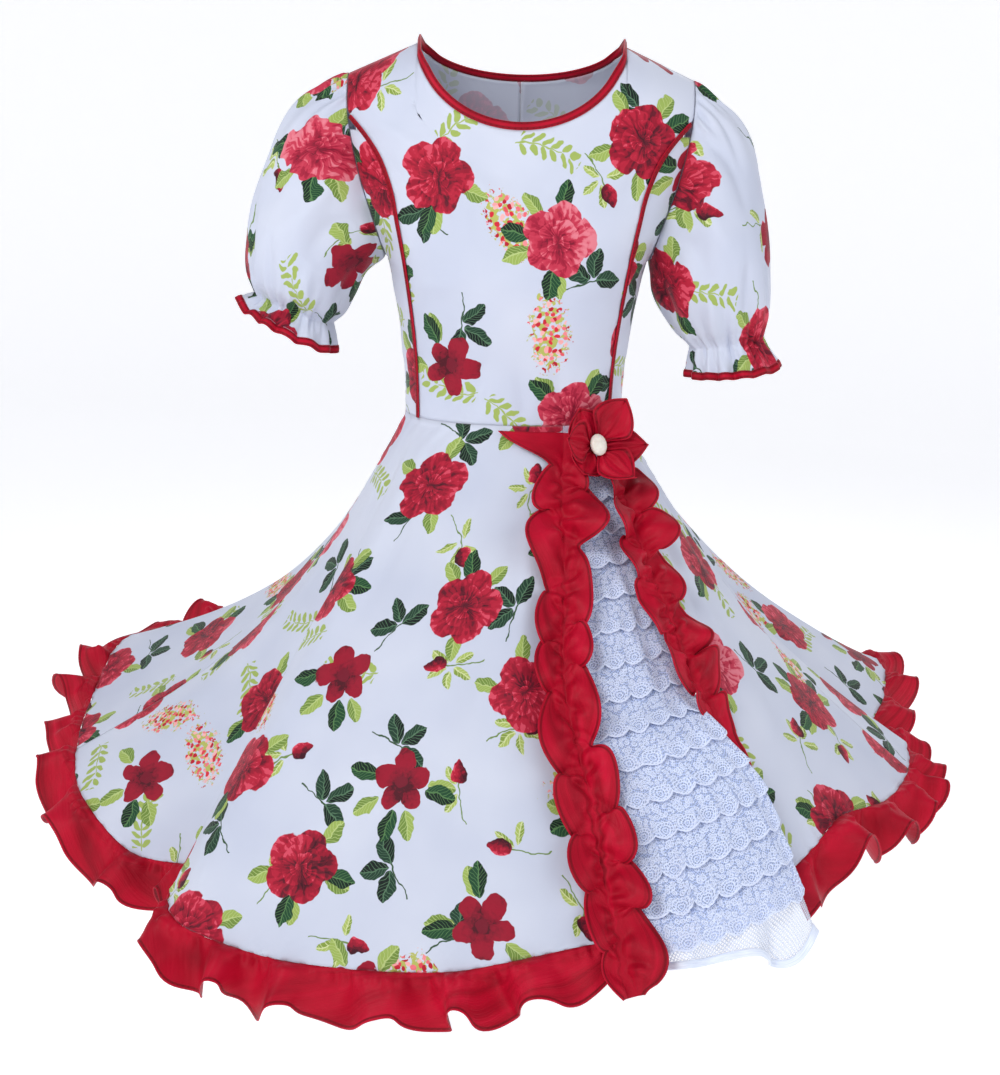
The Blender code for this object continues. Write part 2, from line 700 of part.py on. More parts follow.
def at_share(column, shares):
    """Values down a column of a skirt panel's grid at shares of its length, carried on below the hem."""
    stations = np.array(SKIRT_STATIONS)
    places = (stations[1:] - stations[1]) / (1 - stations[1])
    column = column[1:]
    found = np.stack([np.interp(shares, places, column[:, k]) for k in range(3)], axis=-1)
    slope = (column[-1] - column[-2]) / (places[-1] - places[-2])
    return found + np.maximum(shares - 1, 0)[..., None] * slope


def slit_ruffle(name, panel, edge, table, side):
    """A strip gathered down its middle onto an edge of the slit, both of its borders in waves.

    side is the way to the printed cloth, and the other border hangs over the lace.
    """
    border = -1 if side > 0 else 0
    count = SLIT_WAVES * SLIT_SAMPLES + 1
    shares = np.linspace(table[0][0], table[-1][0], count)
    row = smooth(table, shares)
    angles = edge(np.minimum(shares, 1.0))
    middle = at_share(panel[:, border], shares)
    normal = unit(at_share(grid_normals(panel)[:, border], np.minimum(shares, 1.0)))
    down = unit(np.gradient(middle, axis=0))
    to_cloth = unit(np.cross(down, normal)) * side
    step = skirt_point(angles + 1.0, shares) - skirt_point(angles - 1.0, shares)
    per_metre = 2.0 / np.maximum(np.linalg.norm(step, axis=1), 1e-6)
    phase = 2 * math.pi * SLIT_WAVES * np.linspace(0, 1, count)
    columns = []
    for across in (-1.0, -0.5, 0.0, 0.5, 1.0):
        part = abs(across) ** 1.2
        shift = 0.0 if across >= 0 else 2.1
        swing = row[:, 2] * part
        reach = 0.92 + 0.14 * np.cos(phase + shift)
        rise = SLIT_SEAT + (SLIT_LIFT - SLIT_SEAT) * part + swing * (1.0 + np.sin(phase + shift))
        slide = 0.5 * swing * np.cos(phase + shift)
        if across > 0:
            turn = angles - side * across * row[:, 0] * reach * per_metre
            base = skirt_point(turn, shares)
            up = skirt_normal(turn, np.clip(shares, 0.03, 0.98))
        else:
            base = middle + to_cloth * (across * row[:, 1] * reach)[:, None]
            up = normal
        columns.append(base + up * rise[:, None] + down * slide[:, None])
    grid = np.stack(columns, axis=1)
    cloth("slit_ruffle_" + name, grid, RED, flip=side > 0)


def skirt():
    panels = skirt_panels()
    for name, panel in panels.items():
        grid = pull_edges(panel, top=GAP / 2, left=SEAM_PULL, right=SEAM_PULL)
        cloth("skirt_" + name, grid, FLORAL)
    hem_ruffle("front_right", panels["front_right"], calm_end=0.12, stop=0.010)
    hem_ruffle("front_left", panels["front_left"], calm_start=0.12)
    hem_ruffle("back", panels["back"])
    slit_ruffle("right", panels["front_right"], right_edge, RUFFLE_RIGHT_ROWS, 1.0)
    slit_ruffle("left", panels["front_left"], left_edge, RUFFLE_LEFT_ROWS, -1.0)
    return panels


# Lace

def slit_point(angle, share):
    """The skirt's surface, carried straight across the slit with a slight bow."""
    first, last = right_edge(share), left_edge(share)
    t = (angle - first) / (last - first)
    a = skirt_point(first, share)
    b = skirt_point(last, share)
    flat = np.clip(t, 0, 1)[..., None]
    inside = a + (b - a) * flat
    swell = LACE_BOW * np.clip(share, 0, 1)[..., None] * np.sin(math.pi * flat)
    inside = inside + unit(inside * np.array([1.0, 1.0, 0.0])) * swell
    return np.where(((t >= 0) & (t <= 1))[..., None], inside, skirt_point(angle, share))


def slit_normal(angle, share):
    middle = np.clip(angle, right_edge(share) + 2, left_edge(share) - 2)
    above, below = np.maximum(share - 0.02, 0), share + 0.02
    across = slit_point(middle + 1, share) - slit_point(middle - 1, share)
    down = slit_point(middle, below) - slit_point(middle, above)
    return unit(np.cross(down, across))


def lace_point(across, share, lift):
    """A point of the lace panel: across from 0 to 1, share down from the waist, lift off its lining."""
    share = np.asarray(share, float)
    row = smooth(LACE_ROWS, share)
    angle = row[..., 0] + (row[..., 1] - row[..., 0]) * across
    stand = row[..., 2] + (row[..., 3] - row[..., 2]) * ease((across - 0.15) / 0.75)
    return slit_point(angle, share) + slit_normal(angle, share) * (stand + lift)[..., None]


def on_grid(grid, row, column):
    """Values between the points of a grid, at a row and a column counted in grid steps."""
    row, column = np.broadcast_arrays(np.asarray(row, float), np.asarray(column, float))
    i = np.clip(row.astype(int), 0, grid.shape[0] - 2)
    j = np.clip(column.astype(int), 0, grid.shape[1] - 2)
    u, v = (row - i)[..., None], (column - j)[..., None]
    above = grid[i, j] * (1 - v) + grid[i, j + 1] * v
    below = grid[i + 1, j] * (1 - v) + grid[i + 1, j + 1] * v
    return above * (1 - u) + below * u


def lace_lining(panel, shares):
    """The panel that carries the lace. Its right border is sewn under the skirt beside the slit."""
    across = np.linspace(0, 1, 9)
    rows = [lace_point(across, np.full(9, share), np.zeros(9)) for share in shares]
    grid = np.stack(rows)
    seat = -(WALL + LACE_WALL) / 2 - LACE_SEAT
    seam = at_share(panel[:, -2], shares)
    grid[:, 0] = seam + unit(at_share(grid_normals(panel)[:, -2], shares)) * seat
    cloth("lace_lining", grid, LACE, wall=LACE_WALL)
    return grid


def lace(panel):
    pitch = (LACE_BOTTOM - LACE_TOP) / LACE_TIERS
    shares = np.concatenate([[0.004], LACE_TOP + pitch * np.arange(LACE_TIERS + 1)])
    lining = lace_lining(panel, shares)
    normals = grid_normals(lining)
    columns = lining.shape[1] - 1
    for i in range(LACE_TIERS):
        head = i + 1.08
        foot = i + 1 + TIER_OVERLAP
        ends = lining[min(i + 2, LACE_TIERS + 1)]
        scallops = max(2, round(float(np.linalg.norm(ends[-1] - ends[1])) / SCALLOP_WIDTH))
        s = np.linspace(0.0, 1.0, 4 * scallops + 1)
        place = 1.0 + (columns - 1.0) * s
        dip = np.abs(np.sin(math.pi * scallops * s)) - 0.5
        low = foot + dip * SCALLOP_DEPTH / 0.56 / pitch
        rows = [
            on_grid(lining, head, place) + unit(on_grid(normals, head, place)) * TIER_BASE,
            on_grid(lining, low, place) + unit(on_grid(normals, low, place)) * (TIER_BASE + TIER_FOOT_LIFT),
        ]
        cloth(f"lace_tier_{i + 1:02d}", np.stack(rows), LACE, wall=LACE_WALL)
    tulle(lining)


def tulle(lining):
    """A net flounce below the lining, its bound edge in waves that grow towards the wearer's left."""
    s = np.linspace(0.0, 1.0, 25)
    wave = TULLE_WAVE * (0.25 + 0.75 * s) * np.sin(2 * math.pi * 3.25 * s + 0.6)
    low = TULLE_BOTTOM_RIGHT + (TULLE_BOTTOM_LEFT - TULLE_BOTTOM_RIGHT) * s**1.5
    low = low - 0.010 * np.cos(2 * math.pi * 1.6 * s)
    place = 1.0 + (lining.shape[1] - 2.0) * s
    last = lining.shape[0] - 1.0
    top = on_grid(lining, last, place)
    down = unit(top - on_grid(lining, last - 1.0, place))
    rows = [top + down * (GAP + 0.0002)]
    for part in (0.5, 1.0):
        share = LACE_BOTTOM + (low - LACE_BOTTOM) * part
        rows.append(lace_point(0.125 + 0.875 * s, share, wave * part - 0.0035 * part))
    grid = np.stack(rows)
    cloth("tulle_hem", grid, TULLE, wall=LACE_WALL)
    off = unit(grid[-1] - grid[-2])
    tangent = unit(np.gradient(grid[-1], axis=0))
    normal = unit(np.cross(tangent, off))
    off = unit(np.cross(normal, tangent))
    line = grid[-1] + off * (TULLE_BINDING_HALF + GAP)
    strip("tulle_binding", line, off, normal, TULLE_BINDING_HALF, BINDING_HALF_THICK, TULLE)


# Flower

def flower():
    turn, tilt = math.radians(FLOWER_FACING), math.radians(FLOWER_TILT)
    level = np.array([math.sin(turn), -math.cos(turn), 0.0])
    rise = np.array([0.0, 0.0, 1.0])
    out = level * math.cos(tilt) + rise * math.sin(tilt)
    up = rise * math.cos(tilt) - level * math.sin(tilt)
    right = np.array([math.cos(turn), math.sin(turn), 0.0])
    seat = waist_point(np.array(FLOWER_ANGLE))
    seat[2] = FLOWER_HEIGHT
    centre = seat + out * FLOWER_STAND
    widths = np.linspace(-1, 1, 5)
    for i, (direction, length, half, layer, tip) in enumerate(PETAL_ROWS):
        spin = math.radians(direction)
        ray = right * math.cos(spin) + up * math.sin(spin)
        side = up * math.cos(spin) - right * math.sin(spin)
        rows = []
        for share in np.linspace(0.0, 1.0, 6):
            span = PETAL_START + (length - PETAL_START) * share
            wide = half * (0.10 + 0.92 * math.sin(math.pi * (0.22 + 0.78 * share) ** 1.15) ** 0.75)
            wide = min(wide, 1.35 * span)
            apart = PETAL_ROOT + (PETAL_LAYER - PETAL_ROOT) * float(ease(span / 0.022))
            bend = max(span - PETAL_BEND, 0.0) / (length - PETAL_BEND)
            base = apart * layer + 0.007 * math.sin(math.pi * 0.7 * min(span / 0.06, 1.0)) + tip * bend**2
            rows.append(
                [
                    centre
                    + ray * span
                    + side * wide * w
                    + out * (base + (0.0030 * (1 - w * w) - 0.0012 * w) * min(span / 0.03, 1.0))
                    for w in widths
                ]
            )
        cloth(f"flower_petal_{i + 1}", np.array(rows), RED)
    profile = [(0.0, BUTTON_DOME)]
    for a in np.radians((62, 38, 14, -14)):
        profile.append((BUTTON_RADIUS * math.cos(a), BUTTON_DOME * math.sin(a)))
    profile.append((BUTTON_RADIUS * 0.82, -BUTTON_DOME * 0.55))
    profile.append((SHANK_RADIUS, -BUTTON_DOME * 0.55))
    profile.append((SHANK_RADIUS, -SHANK_LENGTH))
    profile.append((0.0, -SHANK_LENGTH))
    mesh = bpy.data.meshes.new("flower_button")
    points = [(r, 0.0, z) for r, z in profile]
    mesh.from_pydata(points, [(i, i + 1) for i in range(len(points) - 1)], [])
    button = bpy.data.objects.new("flower_button", mesh)
    COLLECTION.objects.link(button)
    mesh.materials.append(material(PEARL))
    turned = button.modifiers.new("turned", "SCREW")
    turned.angle = 2 * math.pi
    turned.steps = turned.render_steps = 14
    turned.use_merge_vertices = True
    turned.merge_threshold = 0.0001
    from mathutils import Vector

    button.rotation_mode = "QUATERNION"
    button.rotation_quaternion = Vector(out).to_track_quat("Z", "Y")
    button.location = centre + out * BUTTON_LIFT


def main():
    bodice()
    sleeve("right", SLEEVE_RIGHT_ROWS, -1.0)
    sleeve("left", SLEEVE_LEFT_ROWS, 1.0)
    panels = skirt()
    lace(panels["front_right"])
    flower()


for old in list(bpy.data.objects):
    bpy.data.objects.remove(old, do_unlink=True)
COLLECTION = bpy.data.collections.new("cueca_dress")
bpy.context.scene.collection.children.link(COLLECTION)
main()
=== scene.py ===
# %% [markdown]
# # A cueca dress
# This notebook dresses the plain solids of a Chilean folk dance dress. The real one is sewn from printed
# cotton, red satin-faced cotton for the frills and bindings, and rows of white lace behind a front slit.
# The solids give every length, so they are loaded first and never moved. Each sewn piece is then drawn
# again with a finer grid of points, because soft folds need many more points than the solids have.

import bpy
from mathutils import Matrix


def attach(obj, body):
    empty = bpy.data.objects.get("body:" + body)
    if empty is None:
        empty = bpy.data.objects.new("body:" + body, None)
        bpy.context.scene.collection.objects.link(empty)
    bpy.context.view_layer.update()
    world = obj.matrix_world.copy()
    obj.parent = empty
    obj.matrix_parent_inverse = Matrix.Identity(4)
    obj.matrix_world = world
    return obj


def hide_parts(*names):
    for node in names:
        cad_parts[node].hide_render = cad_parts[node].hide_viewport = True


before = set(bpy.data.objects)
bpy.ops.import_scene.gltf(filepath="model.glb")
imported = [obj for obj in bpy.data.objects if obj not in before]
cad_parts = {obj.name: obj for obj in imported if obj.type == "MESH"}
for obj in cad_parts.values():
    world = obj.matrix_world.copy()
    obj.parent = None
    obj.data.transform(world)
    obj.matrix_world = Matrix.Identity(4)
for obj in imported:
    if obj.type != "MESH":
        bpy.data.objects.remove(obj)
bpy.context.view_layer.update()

import functools
import math

import bpy
import numpy as np
from mathutils import Matrix

# %% [markdown]
# ## Camera
# The picture was taken from about two metres in front, a little above the waist and looking down, so
# that the hem shows as a wide oval. A matrix made of the camera's own right, up and forward directions
# places it exactly, which is easier to check than three turns one after another.

# %% Camera
CAMERA_PLACE = np.array([0.0, -2.0, -0.0565])
CAMERA_DOWN = math.radians(14.19)
CAMERA_HEADING = math.radians(0.34)
CAMERA_ROLL = math.radians(1.33)
CAMERA_LENS = 63.18

forward = np.array(
    [
        -math.sin(CAMERA_HEADING) * math.cos(CAMERA_DOWN),
        math.cos(CAMERA_HEADING) * math.cos(CAMERA_DOWN),
        -math.sin(CAMERA_DOWN),
    ]
)
level = np.array([math.cos(CAMERA_HEADING), math.sin(CAMERA_HEADING), 0.0])
upward = np.cross(level, forward)
right = level * math.cos(CAMERA_ROLL) + upward * math.sin(CAMERA_ROLL)
above = -level * math.sin(CAMERA_ROLL) + upward * math.cos(CAMERA_ROLL)


def in_scene(name, data):
    """An object that shows the data, linked to the scene."""
    made = bpy.data.objects.new(name, data)
    bpy.context.scene.collection.objects.link(made)
    return made


def placed(side, above, back, place):
    """A matrix whose columns are an object's own right, up and backward directions, and its place."""
    return Matrix([*np.column_stack([side, above, back, place]).tolist(), [0, 0, 0, 1]])


camera = in_scene("camera", bpy.data.cameras.new("camera"))
camera.data.sensor_fit = "HORIZONTAL"
camera.data.sensor_width = 36.0
camera.data.lens = CAMERA_LENS
camera.matrix_world = placed(right, above, -forward, CAMERA_PLACE)
bpy.context.scene.camera = camera
print("camera looks along", np.round(forward, 3))

# %% [markdown]
# ## Room
# The dress hangs as if it were worn, so the floor lies well below the hem. A wide shallow dish, flat in
# the middle and rising far away, gives a pale floor with no edge behind the dress from any side. Three
# large soft lamps stand in for a studio's softboxes: the folds need one side a little brighter.

# %% Floor and lamps
FLOOR_HEIGHT = -1.42
DISH_RADIUS = 9.0
DISH_RISE = 4.6
DISH_SIDES = 64
FLOOR_GLOW = 0.40


def hex_colour(text, alpha=1.0):
    """sRGB hex to linear: c / 12.92 for dark values, else ((c + 0.055) / 1.055) to the power 2.4."""
    values = np.array([int(text[i : i + 2], 16) for i in (1, 3, 5)]) / 255
    linear = np.where(values <= 0.04045, values / 12.92, ((values + 0.055) / 1.055) ** 2.4)
    return (*linear.tolist(), alpha)


def dish(radii, turns):
    """Rings of a dish: the height rises with the square of how far the ring is past 60% of the radius."""
    radius, turn = np.meshgrid(radii, turns, indexing="ij")
    rise = np.clip((radius - 0.6 * DISH_RADIUS) / (0.4 * DISH_RADIUS), 0, 1) ** 2 * DISH_RISE
    return np.stack([radius * np.cos(turn), radius * np.sin(turn), FLOOR_HEIGHT + rise], axis=-1)


def tube_faces(rings, sides):
    """Four corners a face between each ring and the next, with every ring closed."""
    ring, spoke = (a.ravel() for a in np.meshgrid(np.arange(rings - 1), np.arange(sides), indexing="ij"))
    here, beside = ring * sides + spoke, ring * sides + (spoke + 1) % sides
    return np.stack([here, here + sides, beside + sides, beside], 1)


rings = dish(np.linspace(0.0, DISH_RADIUS, 40)[1:], np.linspace(0, 2 * math.pi, DISH_SIDES, endpoint=False))
centre = len(rings) * DISH_SIDES
middle = [[centre, k, (k + 1) % DISH_SIDES] for k in range(DISH_SIDES)]
points = [*rings.reshape(-1, 3).tolist(), [0, 0, FLOOR_HEIGHT]]
floor_mesh = bpy.data.meshes.new("floor")
floor_mesh.from_pydata(points, [], tube_faces(len(rings), DISH_SIDES).tolist() + middle)
floor_mesh.shade_smooth()
floor = in_scene("floor", floor_mesh)

floor_paint = bpy.data.materials.new("white_studio_floor")
floor_paint.use_nodes = True
for key, value in {
    "Base Color": hex_colour("#F4F4F5"),
    "Roughness": 0.9,
    "Emission Color": (1, 1, 1, 1),
    "Emission Strength": FLOOR_GLOW,
}.items():
    floor_paint.node_tree.nodes["Principled BSDF"].inputs[key].default_value = value
floor_mesh.materials.append(floor_paint)

# name, place, size in metres, power in watts, where it points
LAMPS = (
    ("key_lamp", (-1.5, -2.3, 1.7), 1.6, 52.0, (0.0, 0.0, -0.45)),
    ("fill_lamp", (2.4, -1.8, 0.5), 2.2, 14.0, (0.0, 0.0, -0.5)),
    ("back_lamp", (0.6, 2.6, 1.6), 2.2, 28.0, (0.0, 0.0, -0.4)),
)
for name, place, size, power, aim in LAMPS:
    lamp = in_scene(name, bpy.data.lights.new(name, "AREA"))
    lamp.data.shape = "DISK"
    lamp.data.size = size
    lamp.data.energy = power
    back = np.subtract(place, aim) / np.linalg.norm(np.subtract(place, aim))
    side = np.cross([0, 0, 1], back) / np.linalg.norm(np.cross([0, 0, 1], back))
    lamp.matrix_world = placed(side, np.cross(back, side), back, place)

world = bpy.data.worlds.new("studio")
bpy.context.scene.world = world
world.use_nodes = True
world.node_tree.nodes["Background"].inputs["Color"].default_value = hex_colour("#F1F4FF")
world.node_tree.nodes["Background"].inputs["Strength"].default_value = 0.42
bpy.context.scene.view_settings.view_transform = "Standard"
print("lamps:", [row[0] for row in LAMPS])

# %% [markdown]
# ## Nodes for the finishes
# Every finish is a small graph of nodes. One helper adds a node, sets it and links it, so that each
# pattern below reads from top to bottom. A value that is the same all over is written on the shader.

# %% One helper for every node


def add(tree, kind, *values, out=0, stops=None, **named):
    """Adds a node, fills or links its inputs in order or by name, and gives one output.

    Names with a capital are inputs, the others are settings. The second word of a kind such as "Math SINE"
    is its operation. None leaves an input alone.
    """
    kind, _, operation = kind.partition(" ")
    node = tree.nodes.new(kind if kind.startswith("Node") else "ShaderNode" + kind)
    if operation:
        node.operation = operation
    for name in [name for name in named if name.islower()]:
        setattr(node, name, named.pop(name))
    for key, value in [*enumerate(values), *named.items()]:
        if isinstance(value, bpy.types.NodeSocket):
            tree.links.new(value, node.inputs[key])
        elif value is not None:
            node.inputs[key].default_value = value
    if stops:
        ramp = node.color_ramp.elements
        while len(ramp) < len(stops):
            ramp.new(0.5)
        for element, (place, colour) in zip(ramp, stops):
            element.position = place
            element.color = hex_colour(colour)
    return node.outputs[out] if len(node.outputs) else node


def new_finish(name, roughness, **uniform):
    """A material with the shader's own values set, with ways to put nodes in it and to join them to it."""
    made = bpy.data.materials.new(name)
    made.use_nodes = True
    tree = made.node_tree
    inputs = tree.nodes["Principled BSDF"].inputs
    for key, value in {"Roughness": roughness, **uniform}.items():
        inputs[key.replace("_", " ")].default_value = value

    def join(key, value):
        tree.links.new(value, inputs[key])

    return made, functools.partial(add, tree), join


print("node helper ready")

# %% [markdown]
# ## The rose print
# The cloth is a white ground screen-printed with roses, leaves, buds and light sprigs. A screen print is
# flat colour with crisp edges, laid out so that no two flowers touch. Voronoi cells on the cloth's own
# flat coordinates give each flower a place, and the cell's chance colour gives its turn and its kind.
# Roses are about 8 cm wide and 15 cm apart.

# %% Cells that hold one motif each
PLANE = {"voronoi_dimensions": "2D"}


def motif_cells(put, at, pitch, lean, loose, shift):
    """The way from the cell's middle in metres, turned by chance, with its angle, distance and chances."""
    leaned = put("VectorRotate", at, (0, 0, 0), (0, 0, 1), lean, rotation_type="Z_AXIS")
    moved = put("VectorMath ADD", leaned, shift)
    place = put("TexVoronoi", out="Position", **PLANE, Vector=moved, Scale=1 / pitch, Randomness=loose)
    chances = put("SeparateColor", place.node.outputs["Color"]).node.outputs
    turn = put("Math MULTIPLY", chances[0], 2 * math.pi)
    way = put("VectorMath SUBTRACT", moved, place)
    way = put("VectorRotate", way, (0, 0, 0), (0, 0, 1), turn, rotation_type="Z_AXIS")
    parts = put("SeparateXYZ", way).node.outputs
    angle = put("Math ARCTAN2", parts[1], parts[0])
    far = put("VectorMath LENGTH", way, out="Value")
    return {"way": way, "x": parts[0], "y": parts[1], "angle": angle, "far": far, "chance": chances}


print("cells ready")

# %% Petals and leaves in sectors


def sectors(put, cell, count, turn):
    """Folds the plane into equal sectors: ahead = distance x cos(angle in the sector), beside = x sin."""
    place = put("Math MULTIPLY_ADD", cell["angle"], count / (2 * math.pi), turn)
    whole = put("Math FLOOR", place)
    inside = put("Math SUBTRACT", place, whole)
    bend = put("Math MULTIPLY_ADD", inside, 2 * math.pi / count, -math.pi / count)
    which = put("Math WRAP", whole, count, 0.0)
    mixed = put("Math MULTIPLY_ADD", cell["chance"][2], 31.7, which)
    chance = put("TexWhiteNoise", noise_dimensions="1D", W=mixed)
    cosine = put("Math COSINE", bend)
    sine = put("Math SINE", bend)
    ahead = put("Math MULTIPLY", cell["far"], cosine)
    beside = put("Math MULTIPLY", cell["far"], sine)
    return ahead, beside, which, chance


def oval_distance(put, at, long, wide):
    """Distance from the middle of an ellipse in its own size: 1 on its rim."""
    return put("VectorMath LENGTH", put("VectorMath MULTIPLY", at, (1 / long, 1 / wide, 0)), out="Value")


def petal_ring(put, cell, count, turn, middle, long, wide):
    """How far a point is from its sector's petal, 1 at the rim, and its shade from the heart outwards."""
    ahead, beside, _, chance = sectors(put, cell, count, turn)
    size = put("Math MULTIPLY_ADD", chance, 0.30, 0.86)
    ahead = put("Math SUBTRACT", ahead, middle)
    far = oval_distance(put, put("CombineXYZ", ahead, beside, 0.0), long, wide)
    far = put("Math DIVIDE", far, size)
    shade = put("Math MULTIPLY_ADD", ahead, 0.42 / long, 0.28)
    shade = put("Math MULTIPLY_ADD", chance, 0.30, shade)
    return far, shade


def leaf_fan(put, cell, count, turn, start, long, wide, kept):
    """Leaves at the sectors' middles: half width = wide x (4t(1 - t)) to the power 0.7 along the leaf."""
    ahead, beside, which, chance = sectors(put, cell, count, turn)
    along = put("Math SUBTRACT", ahead, start)
    along = put("Math DIVIDE", along, long)
    rest = put("Math SUBTRACT", 1.0, along)
    body = put("Math MULTIPLY", along, rest)
    body = put("Math MULTIPLY", body, 4.0, use_clamp=True)
    body = put("Math POWER", body, 0.7)
    side = put("Math ABSOLUTE", beside)
    edge = put("Math MULTIPLY", body, wide)
    edge = put("Math SUBTRACT", edge, side)
    cover = put("MapRange", edge, 0.0001, 0.0007)
    if kept < 1:
        keep = put("Math LESS_THAN", chance, kept)
    else:
        keep = put("Math LESS_THAN", which, kept - 0.5)
    cover = put("Math MULTIPLY", cover, keep)
    half = put("MapRange", beside, -0.0003, 0.0003)
    slant = put("Math MULTIPLY", along, long)
    slant = put("Math SUBTRACT", slant, side)
    slant = put("Math MULTIPLY", slant, 1500.0)
    slant = put("Math SINE", slant)
    side_vein = put("MapRange", slant, 0.80, 0.97)
    rib = put("MapRange", side, 0.0008, 0.0004)
    vein = put("Math MAXIMUM", side_vein, rib)
    return cover, half, vein


print("petals and leaves ready")

# %% The print as one group
# petals in a ring, turn, distance of their middles, half length and half width, in metres
ROSE_RINGS = (
    (5, 0.00, 0.0240, 0.0172, 0.0190),
    (5, 0.47, 0.0180, 0.0150, 0.0165),
    (4, 0.20, 0.0115, 0.0120, 0.0130),
    (3, 0.65, 0.0062, 0.0078, 0.0085),
    (2, 0.10, 0.0026, 0.0042, 0.0050),
)
PETAL_SHADES = (
    (0.16, "#3C0417"),
    (0.20, "#5C061D"),
    (0.38, "#650821"),
    (0.42, "#8C0826"),
    (0.64, "#9A0B2A"),
    (0.68, "#AE1431"),
    (0.88, "#B61B37"),
    (0.92, "#D4475D"),
)
CORAL_SHADES = (
    (0.18, "#780C28"),
    (0.22, "#960F30"),
    (0.44, "#A61938"),
    (0.48, "#BC2B45"),
    (0.72, "#C53850"),
    (0.76, "#D76071"),
    (0.94, "#DF7C89"),
)
BRIGHT_SHADES = (
    (0.10, "#4C0518"),
    (0.24, "#7E0824"),
    (0.55, "#9A0C2A"),
    (0.85, "#920A27"),
    (0.99, "#720820"),
)
ROSES_APART = 0.146
SPRIGS_APART = 0.094


def paint(put, below, above, cover):
    """Lays one colour over another where the cover is 1."""
    return put("Mix", cover, *[None] * 5, below, above, data_type="RGBA", out=2)


